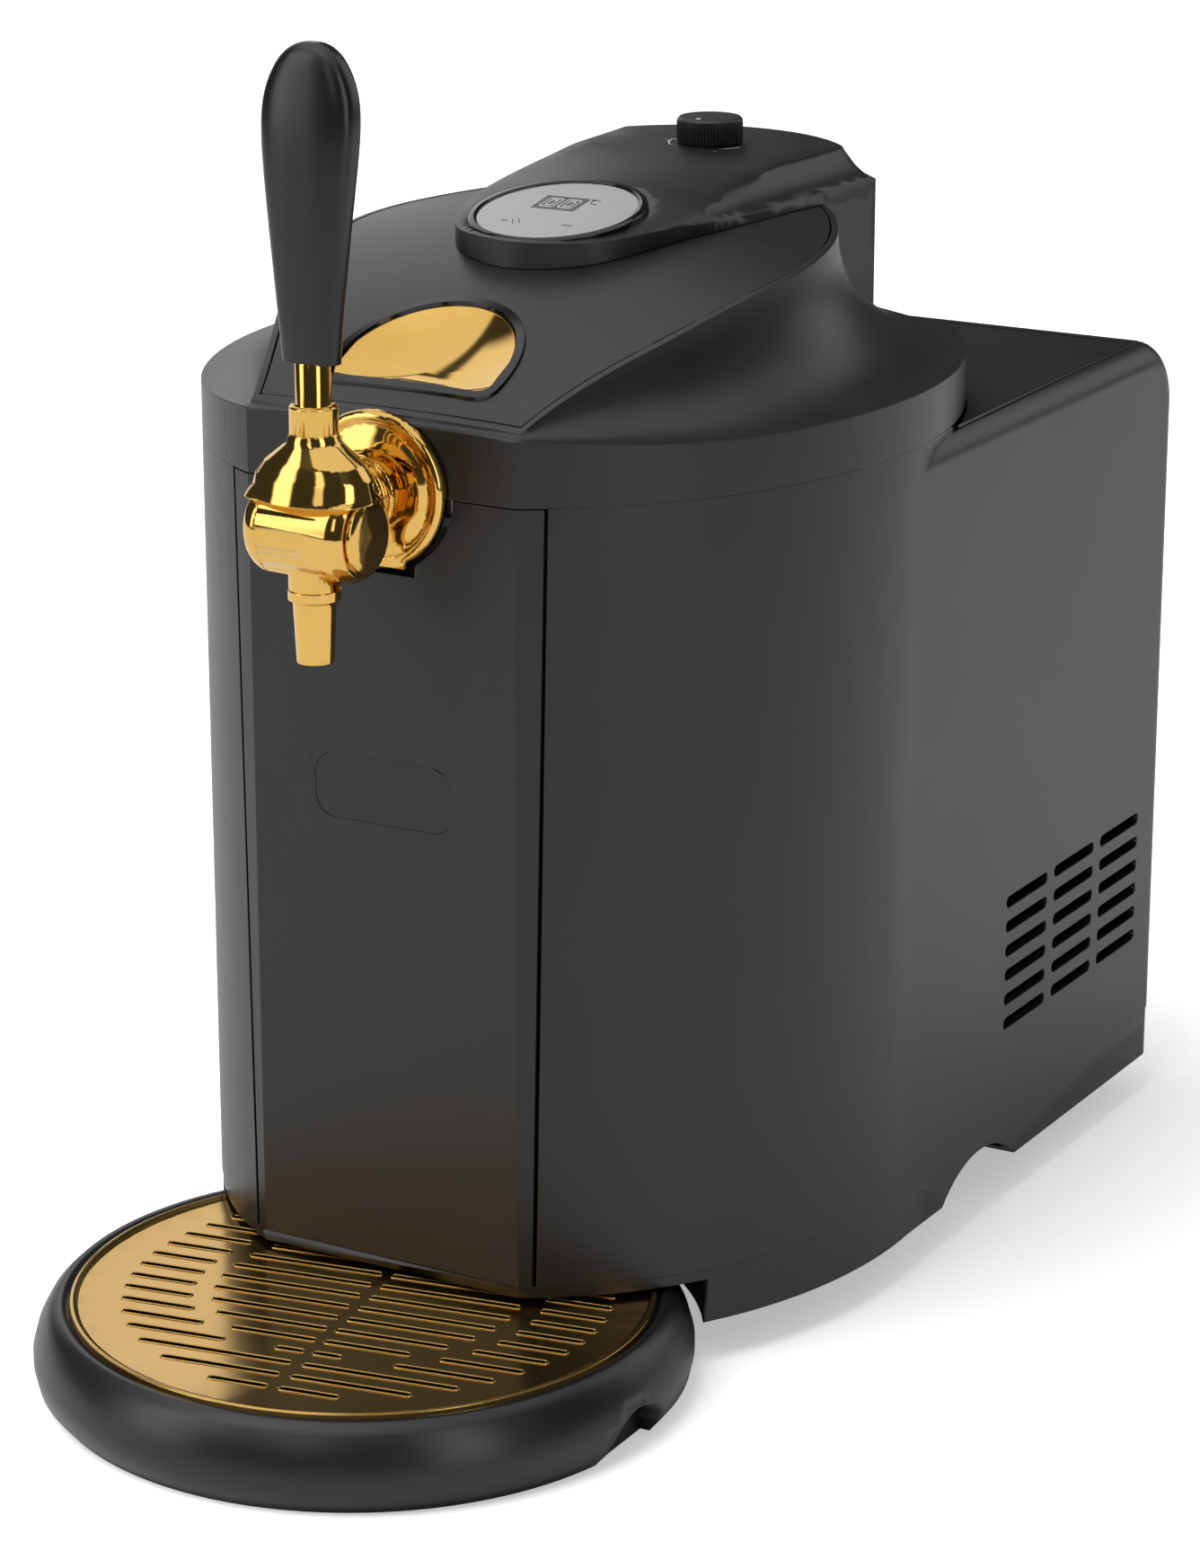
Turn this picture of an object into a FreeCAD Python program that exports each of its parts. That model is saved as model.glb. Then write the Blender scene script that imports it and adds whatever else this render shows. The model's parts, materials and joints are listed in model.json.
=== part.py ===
import FreeCAD, Part
import math
import os

import Sketcher

# A mini keg beer dispenser, in millimetres, +Z up, standing on z = 0.
# Y positions are written from the flat front face and moved back by the sheet's front value,
# so that the origin lies under the middle of the whole object.

drivingSizes = {
    # casing
    "front": -124, "baseFoot": 16, "baseTop": 36, "seam": 310, "wall": 2.8,
    "halfWidth": 128.3, "ovalDepth": 154, "ovalY": 141,
    "boxFrontY": 138, "boxFrontHalf": 127.95, "boxHalf": 131.2, "boxTop": 309, "rearY": 370,
    "boxRound": 10, "rearRound": 26,
    # front panel, badge and the opening around the tap
    "panelTop": 309.5, "panelHalfTop": 60, "panelHalfBottom": 55.4, "panelGap": 1.4,
    "flangeZ": 311.6, "cutRadius": 28.6, "notchHalf": 13.4, "notchBottom": 282,
    "badgeHalf": 27, "badgeTop": 217, "badgeHeight": 23, "badgeDeep": 1.2, "badgeRound": 8,
    # rear cover, outlet and inlet
    "coverY": 379, "coverHalf": 114, "coverBottom": 24, "coverTop": 165, "coverSlope": 9,
    "serviceHalf": 100, "serviceBottom": 48, "serviceTop": 148,
    "inletX": 82, "inletZ": 59, "inletWide": 30, "inletHigh": 22,
    # keg chamber
    "kegY": 148, "kegRadius": 89, "tubWall": 1.5, "tubBottom": 50, "tubTop": 304.5, "jacket": 13,
    "deckZ": 300, "deckThick": 3,
    # cooling
    "coolZ": 105, "blockHalf": 32, "blockFront": 234, "blockRear": 262, "moduleThick": 4,
    "sinkHalf": 50, "sinkBase": 6, "finTall": 30, "finThick": 1.6, "finPitch": 5.2, "finCount": 19,
    "fanY": 308, "fanHalf": 46, "fanDeep": 25, "fanBore": 43.2, "bladeRadius": 41.5, "hubRadius": 17,
    "bladeCount": 7,
    # tray
    "trayY": -17, "trayFoot": 108.7, "trayBelly": 114, "trayBellyZ": 13.5, "trayRim": 104.5,
    "trayTop": 30.4, "trayInner": 100.5, "trayFloor": 3, "trayRecess": 117, "plateRadius": 101,
    "plateUnder": 28.4, "plateThick": 1.6, "slotPitch": 9.7, "slotWide": 3, "slotTurn": 9.2,
    # tap and lever
    "tapY": -37, "tapZ": 305.2, "drumRadius": 16.4, "drumLeft": -14, "drumRight": 12.5, "drumRound": 8,
    "capStart": 18,
    "flangeRadius": 26.6, "plugRadius": 8, "spoutY": -40, "spoutBottom": 261.6,
    "shankRadius": 8, "stemRadius": 5.8, "sleeveRadius": 8, "handleBottom": 360.5,
    # lid
    "lidRear": 256, "lidWall": 2.6, "bandTop": 328.5, "hingeY": 275, "hingeZ": 318, "pinRadius": 2.5,
    "panelThick": 2.4, "linerZ": 313, "linerThick": 3,
    "crownZ": 334, "crownRise": 0.559, "crownBend": 0.00173, "crownArch": 0.0008, "crownFall": 0.0003,
    # display, spine and knob
    "discY": 119, "discZ": 384.6, "discTilt": 10, "discRadius": 31.3, "glassRadius": 28.4,
    "spineTop": 391.3, "spineRear": 269, "knobY": 231, "knobRadius": 12, "knobTop": 401,
    "scoopHalf": 31.5, "scoopY": 25.5, "scoopRise": 34.5, "scoopFront": 17, "buttonDeep": 11,
}

doc = FreeCAD.newDocument("BeerDispenser")
sheet = doc.addObject("Spreadsheet::Sheet", "Sizes")
for row, (alias, value) in enumerate(drivingSizes.items(), 1):
    sheet.set("A%d" % row, alias)
    sheet.set("B%d" % row, str(value))
    sheet.setAlias("B%d" % row, alias)
doc.recompute()


class Size:
    # A driving size, or a sum made from some: its number, and the sheet formula that gives it.
    def __init__(self, number, text):
        self.number = number
        self.text = text

    def __add__(self, other):
        return Size(self.number + num(other), "(%s + %s)" % (self.text, textOf(other)))

    def __sub__(self, other):
        return Size(self.number - num(other), "(%s - %s)" % (self.text, textOf(other)))

    def __mul__(self, other):
        return Size(self.number * num(other), "(%s * %s)" % (self.text, textOf(other)))

    def __truediv__(self, other):
        return Size(self.number / num(other), "(%s / %s)" % (self.text, textOf(other)))

    def __neg__(self):
        return Size(-self.number, "(0 - %s)" % self.text)


class SizeList:
    pass


def num(value):
    return value.number if isinstance(value, Size) else float(value)


def textOf(value):
    return value.text if isinstance(value, Size) else repr(float(value))


size = SizeList()
for alias in drivingSizes:
    setattr(size, alias, Size(float(sheet.get(alias)), "Sizes." + alias))

subParts = []
turns = {
    "z": FreeCAD.Rotation(),
    "y": FreeCAD.Rotation(FreeCAD.Vector(1, 0, 0), -90),
    "x": FreeCAD.Rotation(FreeCAD.Vector(0, 1, 0), 90),
}


def fromFront(y):
    return size.front + y


def point(x, y, z):
    return FreeCAD.Vector(num(x), num(fromFront(y)), num(z))


# Bound objects: every size and place is an expression on the sheet.
def bind(thing, sizes):
    for name, value in sizes.items():
        thing.setExpression(name, textOf(value))
    return thing


def put(thing, x, y, z, along="z"):
    thing.Placement.Rotation = turns[along]
    spot = {"x": x, "y": fromFront(y), "z": z}
    return bind(thing, {"Placement.Base." + axis: value for axis, value in spot.items()})


def block(name, x, y, z, length, width, height):
    thing = bind(doc.addObject("Part::Box", name), {"Length": length, "Width": width, "Height": height})
    return put(thing, x, y, z)


def rod(name, radius, height, x, y, z, along="z"):
    thing = bind(doc.addObject("Part::Cylinder", name), {"Radius": radius, "Height": height})
    return put(thing, x, y, z, along)


def cone(name, lower, upper, height, x, y, z, along="z"):
    thing = bind(doc.addObject("Part::Cone", name), {"Radius1": lower, "Radius2": upper, "Height": height})
    return put(thing, x, y, z, along)


def fuse(name, *things):
    whole = doc.addObject("Part::MultiFuse", name)
    whole.Shapes = list(things)
    return whole


def cut(name, base, *tools):
    whole = doc.addObject("Part::Cut", name)
    whole.Base = base
    whole.Tool = tools[0] if len(tools) == 1 else fuse(name + "Tools", *tools)
    return whole


def common(name, base, tool):
    whole = doc.addObject("Part::Common", name)
    whole.Base = base
    whole.Tool = tool
    return whole


def shaped(name, shape):
    thing = doc.addObject("Part::Feature", name)
    thing.Shape = shape
    return thing


def finished(thing, node):
    thing.Label = node
    subParts.append(thing)
    return thing


# PartDesign bodies, with sketches whose corners are held by bound constraints.
def newBody(name, x, y, z, along="z"):
    return put(doc.addObject("PartDesign::Body", name), x, y, z, along)


def newSketch(body, name, plane):
    sketch = body.newObject("Sketcher::SketchObject", name)
    support = [item for item in body.Origin.OriginFeatures if item.Role == plane][0]
    sketch.AttachmentSupport = [(support, "")]
    sketch.MapMode = "FlatFace"
    return sketch


def holdPoint(sketch, item, end, across, up):
    for kind, value in (("DistanceX", across), ("DistanceY", up)):
        index = sketch.addConstraint(Sketcher.Constraint(kind, -1, 1, item, end, num(value)))
        sketch.setExpression("Constraints[%d]" % index, textOf(value))


def polygonSketch(body, name, plane, corners):
    sketch = newSketch(body, name, plane)
    spots = [FreeCAD.Vector(num(across), num(up), 0) for across, up in corners]
    for item, spot in enumerate(spots):
        sketch.addGeometry(Part.LineSegment(spot, spots[(item + 1) % len(spots)]), False)
    for item in range(len(spots)):
        sketch.addConstraint(Sketcher.Constraint("Coincident", item, 2, (item + 1) % len(spots), 1))
    for item, (across, up) in enumerate(corners):
        holdPoint(sketch, item, 1, across, up)
    return sketch


def circleSketch(body, name, plane, radius, across=0, up=0):
    sketch = newSketch(body, name, plane)
    centre = FreeCAD.Vector(num(across), num(up), 0)
    sketch.addGeometry(Part.Circle(centre, FreeCAD.Vector(0, 0, 1), num(radius)), False)
    index = sketch.addConstraint(Sketcher.Constraint("Radius", 0, num(radius)))
    sketch.setExpression("Constraints[%d]" % index, textOf(radius))
    holdPoint(sketch, 0, 3, across, up)
    return sketch


def revolved(name, corners, x, y, z, along="z"):
    body = newBody(name, x, y, z, along)
    turn = body.newObject("PartDesign::Revolution", name + "Turn")
    turn.Profile = polygonSketch(body, name + "Profile", "XZ_Plane", corners)
    turn.ReferenceAxis = (turn.Profile[0], ["V_Axis"])
    turn.Angle = 360
    return body


def padded(body, sketch, name, length):
    pad = body.newObject("PartDesign::Pad", name)
    pad.Profile = sketch
    pad.setExpression("Length", textOf(length))
    return pad


# The oval column that the casing and the lid share, cut flat at the front.
def ovalX(y, inset=0):
    across = num(size.halfWidth) - inset
    deep = num(size.ovalDepth) - inset
    return across * math.sqrt(max(0.0, 1 - ((y - num(size.ovalY)) / deep) ** 2))


def ovalPrism(name, inset, low, high, rear=420):
    oval = bind(doc.addObject("Part::Ellipse", name + "Oval"), {
        "MajorRadius": size.ovalDepth - inset, "MinorRadius": size.halfWidth - inset})
    put(oval, 0, size.ovalY, low)
    oval.Placement.Rotation = FreeCAD.Rotation(FreeCAD.Vector(0, 0, 1), 90)
    column = doc.addObject("Part::Extrusion", name + "Column")
    column.Base = oval
    column.Dir = FreeCAD.Vector(0, 0, 1)
    column.Solid = True
    bind(column, {"LengthFwd": Size(num(high), textOf(high)) - low})
    deep = Size(float(rear), repr(float(rear))) - inset if not isinstance(rear, Size) else rear - inset
    slab = block(name + "Slab", -size.halfWidth * 2, inset, low, size.halfWidth * 4, deep,
                 Size(num(high), textOf(high)) - low)
    return common(name, column, slab)


# The straight rear of the casing: flat sides, a rounded top and rounded rear corners.
def rearBox(name, inset, low):
    top = num(size.boxTop) - inset
    rear = num(size.rearY) - inset
    near = num(size.boxFrontY) + inset
    bend = num(size.rearRound) - inset
    slant = bend * math.sqrt(0.5)
    corner = point(0, rear - bend + slant, top - bend + slant)
    edges = [
        Part.LineSegment(point(0, near, low), point(0, rear, low)),
        Part.LineSegment(point(0, rear, low), point(0, rear, top - bend)),
        Part.Arc(point(0, rear, top - bend), corner, point(0, rear - bend, top)),
        Part.LineSegment(point(0, rear - bend, top), point(0, near, top)),
        Part.LineSegment(point(0, near, top), point(0, near, low)),
    ]
    side = Part.Face(Part.Wire([edge.toShape() for edge in edges]))
    side.translate(FreeCAD.Vector(-200, 0, 0))
    long = side.extrude(FreeCAD.Vector(400, 0, 0))
    nearHalf = num(size.boxFrontHalf) - inset
    rearHalf = num(size.boxHalf) - inset
    plan = Part.makePolygon([
        point(-nearHalf, num(size.boxFrontY), low - 1), point(nearHalf, num(size.boxFrontY), low - 1),
        point(rearHalf, num(size.rearY), low - 1), point(-rearHalf, num(size.rearY), low - 1),
        point(-nearHalf, num(size.boxFrontY), low - 1)])
    whole = long.common(Part.Face(plan).extrude(FreeCAD.Vector(0, 0, 400)))
    slope = (rearHalf - nearHalf) / (num(size.rearY) - num(size.boxFrontY))

    def onSide(spot):
        y = spot.y - num(size.front)
        return abs(spot.x) > nearHalf + slope * (y - num(size.boxFrontY)) - 0.05

    rounded = []
    for edge in whole.Edges:
        spots = [edge.valueAt(edge.FirstParameter), edge.valueAt(edge.LastParameter)]
        atFoot = all(spot.z < low + 0.1 for spot in spots)
        atFront = all(spot.y < near + num(size.front) + 0.1 for spot in spots)
        if all(onSide(spot) for spot in spots) and not atFoot and not atFront:
            rounded.append(edge)
    return shaped(name, whole.makeFillet(num(size.boxRound) - inset, rounded))


def panelWedge(name, grow, low, high):
    # The tapered field between the two upright gaps of the front.
    lower = num(size.panelHalfBottom) + grow
    upper = num(size.panelHalfTop) + grow
    outline = Part.makePolygon([point(-lower, -5, low), point(lower, -5, low), point(upper, -5, high),
                                point(-upper, -5, high), point(-lower, -5, low)])
    return shaped(name, Part.Face(outline).extrude(FreeCAD.Vector(0, 40, 0)))


def slotShape(length, height, x, y, z, deep):
    # A slot with round ends, long in Y and run through along X.
    bend = height / 2
    half = length / 2 - bend
    ends = [Part.makeCylinder(bend, deep, point(x, y + side * half, z), FreeCAD.Vector(1, 0, 0))
            for side in (-1, 1)]
    middle = Part.makeBox(deep, 2 * half, height, point(x, y - half, z - bend))
    return ends[0].fuse([ends[1], middle]).removeSplitter()


def roundedRecess():
    # room for the badge plate: two crossed blocks and a round corner at each of their ends
    room = 0.1
    deep = size.badgeDeep + 4
    low = size.badgeTop - size.badgeHeight - room
    flat = block("RecessFlat", -size.badgeHalf - room, -4, low + size.badgeRound, (size.badgeHalf + room) * 2, deep,
                 size.badgeHeight + room * 2 - size.badgeRound * 2)
    tall = block("RecessTall", -size.badgeHalf - room + size.badgeRound, -4, low,
                 (size.badgeHalf + room - size.badgeRound) * 2, deep, size.badgeHeight + room * 2)
    corners = []
    for word, side in (("Left", -1), ("Right", 1)):
        for level, z in (("Low", low + size.badgeRound), ("High", size.badgeTop + room - size.badgeRound)):
            corners.append(rod("Recess" + level + word, size.badgeRound, deep,
                               (size.badgeHalf + room - size.badgeRound) * side, -4, z, "y"))
    return fuse("PanelRecess", flat, tall, *corners)


def casing():
    print("casing")
    outer = fuse("CasingOuter", ovalPrism("CasingOval", 0, size.baseTop, size.seam),
                 rearBox("CasingRear", 0, num(size.baseTop)))
    inner = fuse("CasingInner", ovalPrism("CasingHollow", size.wall, size.baseTop - 4, size.seam + 10),
                 rearBox("CasingRearHollow", num(size.wall), num(size.baseTop) - 4))
    # side vents: three columns of slots near the rear
    ventColumns, ventRows, ventPitch, ventFirst, ventLow = 3, 6, 9.6, 244, 72
    vents = [slotShape(36, 4.6, -150, ventFirst + 42 * column, ventLow + ventPitch * level, 300)
             for column in range(ventColumns) for level in range(ventRows)]
    ventCut = shaped("CasingVents", Part.makeCompound(vents))
    service = block("CasingService", -size.serviceHalf, size.rearY - 6, size.serviceBottom,
                    size.serviceHalf * 2, 12, size.serviceTop - size.serviceBottom)
    inletHole = block("CasingInlet", size.inletX - size.inletWide / 2 - 0.4, size.rearY - 6, size.inletZ - 11.4,
                      size.inletWide + 0.8, 12, size.inletHigh + 0.8)
    topHole = block("CasingTop", -124, 160, size.boxTop - 6, 248, 184, 12)
    shell = cut("HousingShell", outer, inner, panelWedge("CasingFront", num(size.panelGap), 30, 330), ventCut, service,
                inletHole, topHole)
    finished(shell, "housing_shell")

    # front panel between the gaps, with the round opening for the tap and a recess for the badge
    skin = cut("PanelSkin", ovalPrism("PanelOval", 0, size.baseTop, size.panelTop),
               ovalPrism("PanelHollow", size.wall, size.baseTop - 1, size.panelTop + 1))
    field = common("PanelField", skin, panelWedge("PanelWedge", 0, 30, num(size.panelTop)))
    opening = rod("PanelOpening", size.cutRadius, 12, 0, -4, size.flangeZ, "y")
    notch = block("PanelNotch", -size.notchHalf, -4, size.notchBottom, size.notchHalf * 2, 12, 30)
    recess = roundedRecess()
    panel = cut("FrontPanel", field, opening, notch, recess)
    finished(panel, "front_panel")
    badge = newBody("Badge", 0, 0.2, size.badgeTop - size.badgeHeight / 2, "y")
    half = size.badgeHeight / 2
    badgePad = padded(badge, polygonSketch(badge, "BadgeOutline", "XY_Plane", [
        (-size.badgeHalf, -half), (size.badgeHalf, -half), (size.badgeHalf, half), (-size.badgeHalf, half)]),
        "BadgePad", size.badgeDeep - 0.2)
    doc.recompute()
    roundOff = badge.newObject("PartDesign::Fillet", "BadgeRound")
    roundOff.Base = (badgePad, [name for name, edge in zip(
        ["Edge%d" % (k + 1) for k in range(len(badgePad.Shape.Edges))], badgePad.Shape.Edges)
        if abs(edge.tangentAt(edge.FirstParameter).z) > 0.9])
    bind(roundOff, {"Radius": size.badgeRound})
    finished(badge, "badge_plate")

    # top plate behind the lid, and the deck that carries the tub
    plate = block("TopPlateBlank", -123.6, 161, size.boxTop - size.wall, 247.2, 182.6, 2.4)
    behind = ovalPrism("TopPlateOval", -0.6, size.boxTop - 6, size.boxTop + 6, size.lidRear)
    finished(cut("RearTopPlate", plate, behind), "rear_top_plate")
    deckOval = ovalPrism("DeckOval", size.wall + 0.2, size.deckZ, size.deckZ + size.deckThick, 250)
    deckHole = rod("DeckHole", size.kegRadius + size.tubWall + 0.05, 20, 0, size.kegY, size.deckZ - 5)
    nutRoom = block("DeckNutRoom", -13.4, -5, size.deckZ - 5, 26.8, 25, 20)
    finished(cut("TopDeck", deckOval, deckHole, nutRoom), "top_deck")


def baseParts():
    print("base")
    low = size.baseFoot
    outer = fuse("BaseOuter", ovalPrism("BaseOval", 0.4, low, size.baseTop),
                 rearBox("BaseRearTall", 0.4, num(low)))
    level = block("BaseLevel", -200, -10, low, 400, 460, size.baseTop - low)
    slab = common("BaseSlab", outer, level)
    hollow = fuse("BaseHollow", ovalPrism("BaseHollowOval", size.wall + 0.4, low + 3, size.baseTop - 4),
                  common("BaseHollowRear", rearBox("BaseHollowTall", num(size.wall) + 0.4, num(low) - 2),
                         block("BaseHollowLevel", -200, -10, low + 3, 400, 460, size.baseTop - low - 7)))
    recess = rod("BaseRecess", size.trayRecess, size.baseTop - 4 - low + 10, 0, size.trayY, low - 10)
    wallOut = rod("RecessOuter", size.trayRecess + size.wall, size.baseTop - 4 - low, 0, size.trayY, low)
    recessWall = common("RecessWall", wallOut, slab)
    grips = [rod("Grip%s" % word, 46, 60, start, 209, low - 34, "x")
             for word, start in (("Left", -160), ("Right", 100))]
    body = fuse("BaseWalls", cut("BaseShell", slab, hollow), recessWall)
    # four sockets reach down to carry the feet
    finished(cut("BasePart", body, recess, *grips), "base")
    feet = [cone("Foot%d" % count, 10, 11.5, size.baseFoot, x, y, 0)
            for count, (x, y) in enumerate(((-84, 150), (84, 150), (-92, 334), (92, 334)))]
    group = doc.addObject("Part::Compound", "Feet")
    group.Links = feet
    finished(group, "rubber_feet")


def rearCover():
    print("rear cover")
    rear, cover = num(size.rearY), num(size.coverY)
    low, high, slope = num(size.coverBottom), num(size.coverTop), num(size.coverSlope)
    half = num(size.coverHalf)

    def bulge(inset, start):
        outline = Part.makePolygon([
            point(-half + inset, start, low + inset), point(-half + inset, cover - inset, low + inset),
            point(-half + inset, cover - inset, high - slope * 1.6 - inset),
            point(-half + inset, start, high - inset), point(-half + inset, start, low + inset)])
        return Part.Face(outline).extrude(FreeCAD.Vector(2 * (half - inset), 0, 0))

    outer = bulge(0, rear)
    uprights = [edge for edge in outer.Edges if abs(edge.CenterOfMass.x) > half - 0.1
                and edge.CenterOfMass.y > num(size.front) + rear + 0.5]
    outer = outer.makeFillet(5, uprights)
    hollow = bulge(2.6, rear - 1)
    inside = Part.makeBox(2 * half - 30, 8, 92, point(-half + 15, rear - 1, num(size.serviceBottom) + 2))
    shape = outer.cut(hollow.common(inside))
    rows, pitch, slotHalf = 9, 9, 46
    for row in range(rows):
        z = num(size.coolZ) + (row - (rows - 1) / 2) * pitch
        shape = shape.cut(Part.makeBox(2 * slotHalf, 30, 4, point(-slotHalf, rear - 2, z - 2)))
    inlet = Part.makeBox(num(size.inletWide) + 0.1, 30, num(size.inletHigh) + 0.1,
                         point(num(size.inletX) - num(size.inletWide) / 2 - 0.05, rear - 2,
                               num(size.inletZ) - num(size.inletHigh) / 2 - 0.05))
    shape = shape.cut(inlet)
    screwSpots = [(side * (half - 9), z) for side in (-1, 1) for z in (num(size.coverBottom) + 7, 138)]
    for x, z in screwSpots:
        shape = shape.cut(Part.makeCylinder(4.2, 6, point(x, cover - 3, z), FreeCAD.Vector(0, 1, 0)))
        shape = shape.cut(Part.makeCylinder(2, 20, point(x, rear - 5, z), FreeCAD.Vector(0, 1, 0)))
    finished(shaped("RearCover", shape), "rear_cover")
    screws = []
    for count, (x, z) in enumerate(screwSpots):
        screws.append(fuse("CoverScrew%d" % count, rod("CoverShank%d" % count, 1.95, 9, x, cover - 12, z, "y"),
                           rod("CoverHead%d" % count, 3.8, 2, x, cover - 3, z, "y")))
    group = doc.addObject("Part::Compound", "CoverScrews")
    group.Links = screws
    finished(group, "housing_screws")
    # inlet: a block with a recess and two contact pins
    case = block("InletCase", size.inletX - size.inletWide / 2, size.rearY - 22, size.inletZ - size.inletHigh / 2,
                 size.inletWide, 30, size.inletHigh)
    cavity = block("InletCavity", size.inletX - 12, size.rearY - 10, size.inletZ - 7.5, 24, 30, 15)
    pins = [rod("InletPin%d" % count, 1.6, 16, size.inletX + x, size.rearY - 11, size.inletZ, "y")
            for count, x in enumerate((-5, 5))]
    finished(fuse("Inlet", cut("InletShell", case, cavity), *pins), "power_inlet")


def kegChamber():
    print("keg chamber")
    radius, wall = size.kegRadius, size.tubWall
    tub = revolved("Tub", [
        (0, size.tubBottom), (radius + wall, size.tubBottom), (radius + wall, size.deckZ + size.deckThick),
        (radius + wall + 4, size.deckZ + size.deckThick), (radius + wall + 4, size.tubTop),
        (radius, size.tubTop), (radius, size.tubBottom + wall), (0, size.tubBottom + wall)], 0, size.kegY, 0)
    finished(tub, "keg_chamber")
    foam = rod("FoamOuter", radius + wall + size.jacket, 248, 0, size.kegY, 40)
    foamHole = rod("FoamInner", radius + wall, 260, 0, size.kegY, size.tubBottom)
    window = block("FoamWindow", -size.blockHalf - 0.5, size.kegY + 60, size.coolZ - size.blockHalf - 0.5,
                   size.blockHalf * 2 + 1, 60, size.blockHalf * 2 + 1)
    finished(cut("Foam", foam, foamHole, window), "insulation_jacket")


def coolingParts():
    print("cooling")
    z = size.coolZ
    half = size.blockHalf
    lump = block("ColdLump", -half, size.blockFront - 14, z - half, half * 2,
                 size.blockRear - size.blockFront + 14, half * 2)
    saddle = rod("ColdSaddle", size.kegRadius + size.tubWall, 100, 0, size.kegY, z - 50)
    finished(cut("ColdBlock", lump, saddle), "cold_block")
    finished(block("Module", -20, size.blockRear, z - 20, 40, size.moduleThick, 40), "thermoelectric_module")
    # heat sink: a base plate and a row of upright fins
    sinkY = size.blockRear + size.moduleThick
    sink = newBody("HeatSink", 0, sinkY, z, "y")
    side = size.sinkHalf
    padded(sink, polygonSketch(sink, "SinkPlate", "XY_Plane", [(-side, -side), (side, -side), (side, side),
                                                               (-side, side)]), "SinkBase", size.sinkBase)
    firstX = -size.finPitch * (size.finCount - 1) / 2 - size.finThick / 2
    fin = padded(sink, polygonSketch(sink, "FinOutline", "XY_Plane", [
        (firstX, -side), (firstX + size.finThick, -side), (firstX + size.finThick, side), (firstX, side)]),
        "Fin", size.sinkBase + size.finTall)
    doc.recompute()
    row = sink.newObject("PartDesign::LinearPattern", "FinRow")
    row.Originals = [fin]
    row.Direction = ([item for item in sink.Origin.OriginFeatures if item.Role == "X_Axis"][0], [""])
    bind(row, {"Length": size.finPitch * (size.finCount - 1), "Occurrences": size.finCount})
    sink.Tip = row
    finished(sink, "heat_sink")
    # fan frame with a motor holder on four struts
    frame = block("FanBlank", -size.fanHalf, size.fanY, z - size.fanHalf, size.fanHalf * 2, size.fanDeep,
                  size.fanHalf * 2)
    bore = rod("FanBore", size.fanBore, 40, 0, size.fanY - 5, z, "y")
    strutY = size.fanY + size.fanDeep - 3
    holder = rod("FanHolder", size.hubRadius, 3, 0, strutY, z, "y")
    struts = [block("StrutAcross", -size.fanHalf, strutY, z - 2, size.fanHalf * 2, 3, 4),
              block("StrutUp", -2, strutY, z - size.fanHalf, 4, 3, size.fanHalf * 2)]
    axle = rod("FanAxle", 2, 14, 0, strutY - 12, z, "y")
    holes = [rod("FanHole%d" % count, 2.2, 40, x, size.fanY - 5, z + up, "y")
             for count, (x, up) in enumerate(((-41, -41), (41, -41), (41, 41), (-41, 41)))]
    finished(fuse("FanFrame", cut("FanRing", frame, bore, *holes), holder, axle, *struts), "fan_frame")
    screws = [fuse("FanScrew%d" % count, rod("FanShank%d" % count, 2.15, 30, x, size.fanY - 2, z + up, "y"),
                   rod("FanHead%d" % count, 3.6, 2.2, x, size.fanY + size.fanDeep, z + up, "y"))
              for count, (x, up) in enumerate(((-41, -41), (41, -41), (41, 41), (-41, 41)))]
    group = doc.addObject("Part::Compound", "FanScrews")
    group.Links = screws
    finished(group, "fan_screws")
    # rotor: a cup hub and swept blades
    rotor = newBody("Rotor", 0, size.fanY + 2, z, "y")
    padded(rotor, circleSketch(rotor, "HubOutline", "XY_Plane", size.hubRadius), "Hub", 19)
    doc.recompute()
    bore = rotor.newObject("PartDesign::Pocket", "HubBore")
    bore.Profile = circleSketch(rotor, "HubBoreOutline", "XY_Plane", 2.06)
    bore.Type = "ThroughAll"
    bore.Reversed = True
    inner = size.hubRadius - 2
    blade = padded(rotor, polygonSketch(rotor, "BladeOutline", "XY_Plane", [
        (inner, -1), (size.bladeRadius - 2, -9), (size.bladeRadius, -6), (size.bladeRadius - 0.5, -3),
        (inner, 3)]), "Blade", 17)
    doc.recompute()
    around = rotor.newObject("PartDesign::PolarPattern", "BladeRing")
    around.Originals = [blade]
    around.Axis = ([item for item in rotor.Origin.OriginFeatures if item.Role == "Z_Axis"][0], [""])
    around.Angle = 360
    bind(around, {"Occurrences": size.bladeCount})
    rotor.Tip = around
    finished(rotor, "fan_rotor")
    supply = block("Supply", -55, 300, 190, 110, 50, 78)
    foot = block("SupplyFoot", -62, 350, 196, 124, size.rearY - size.wall - 350, 14)
    finished(fuse("PowerSupply", supply, foot), "power_supply")


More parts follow.
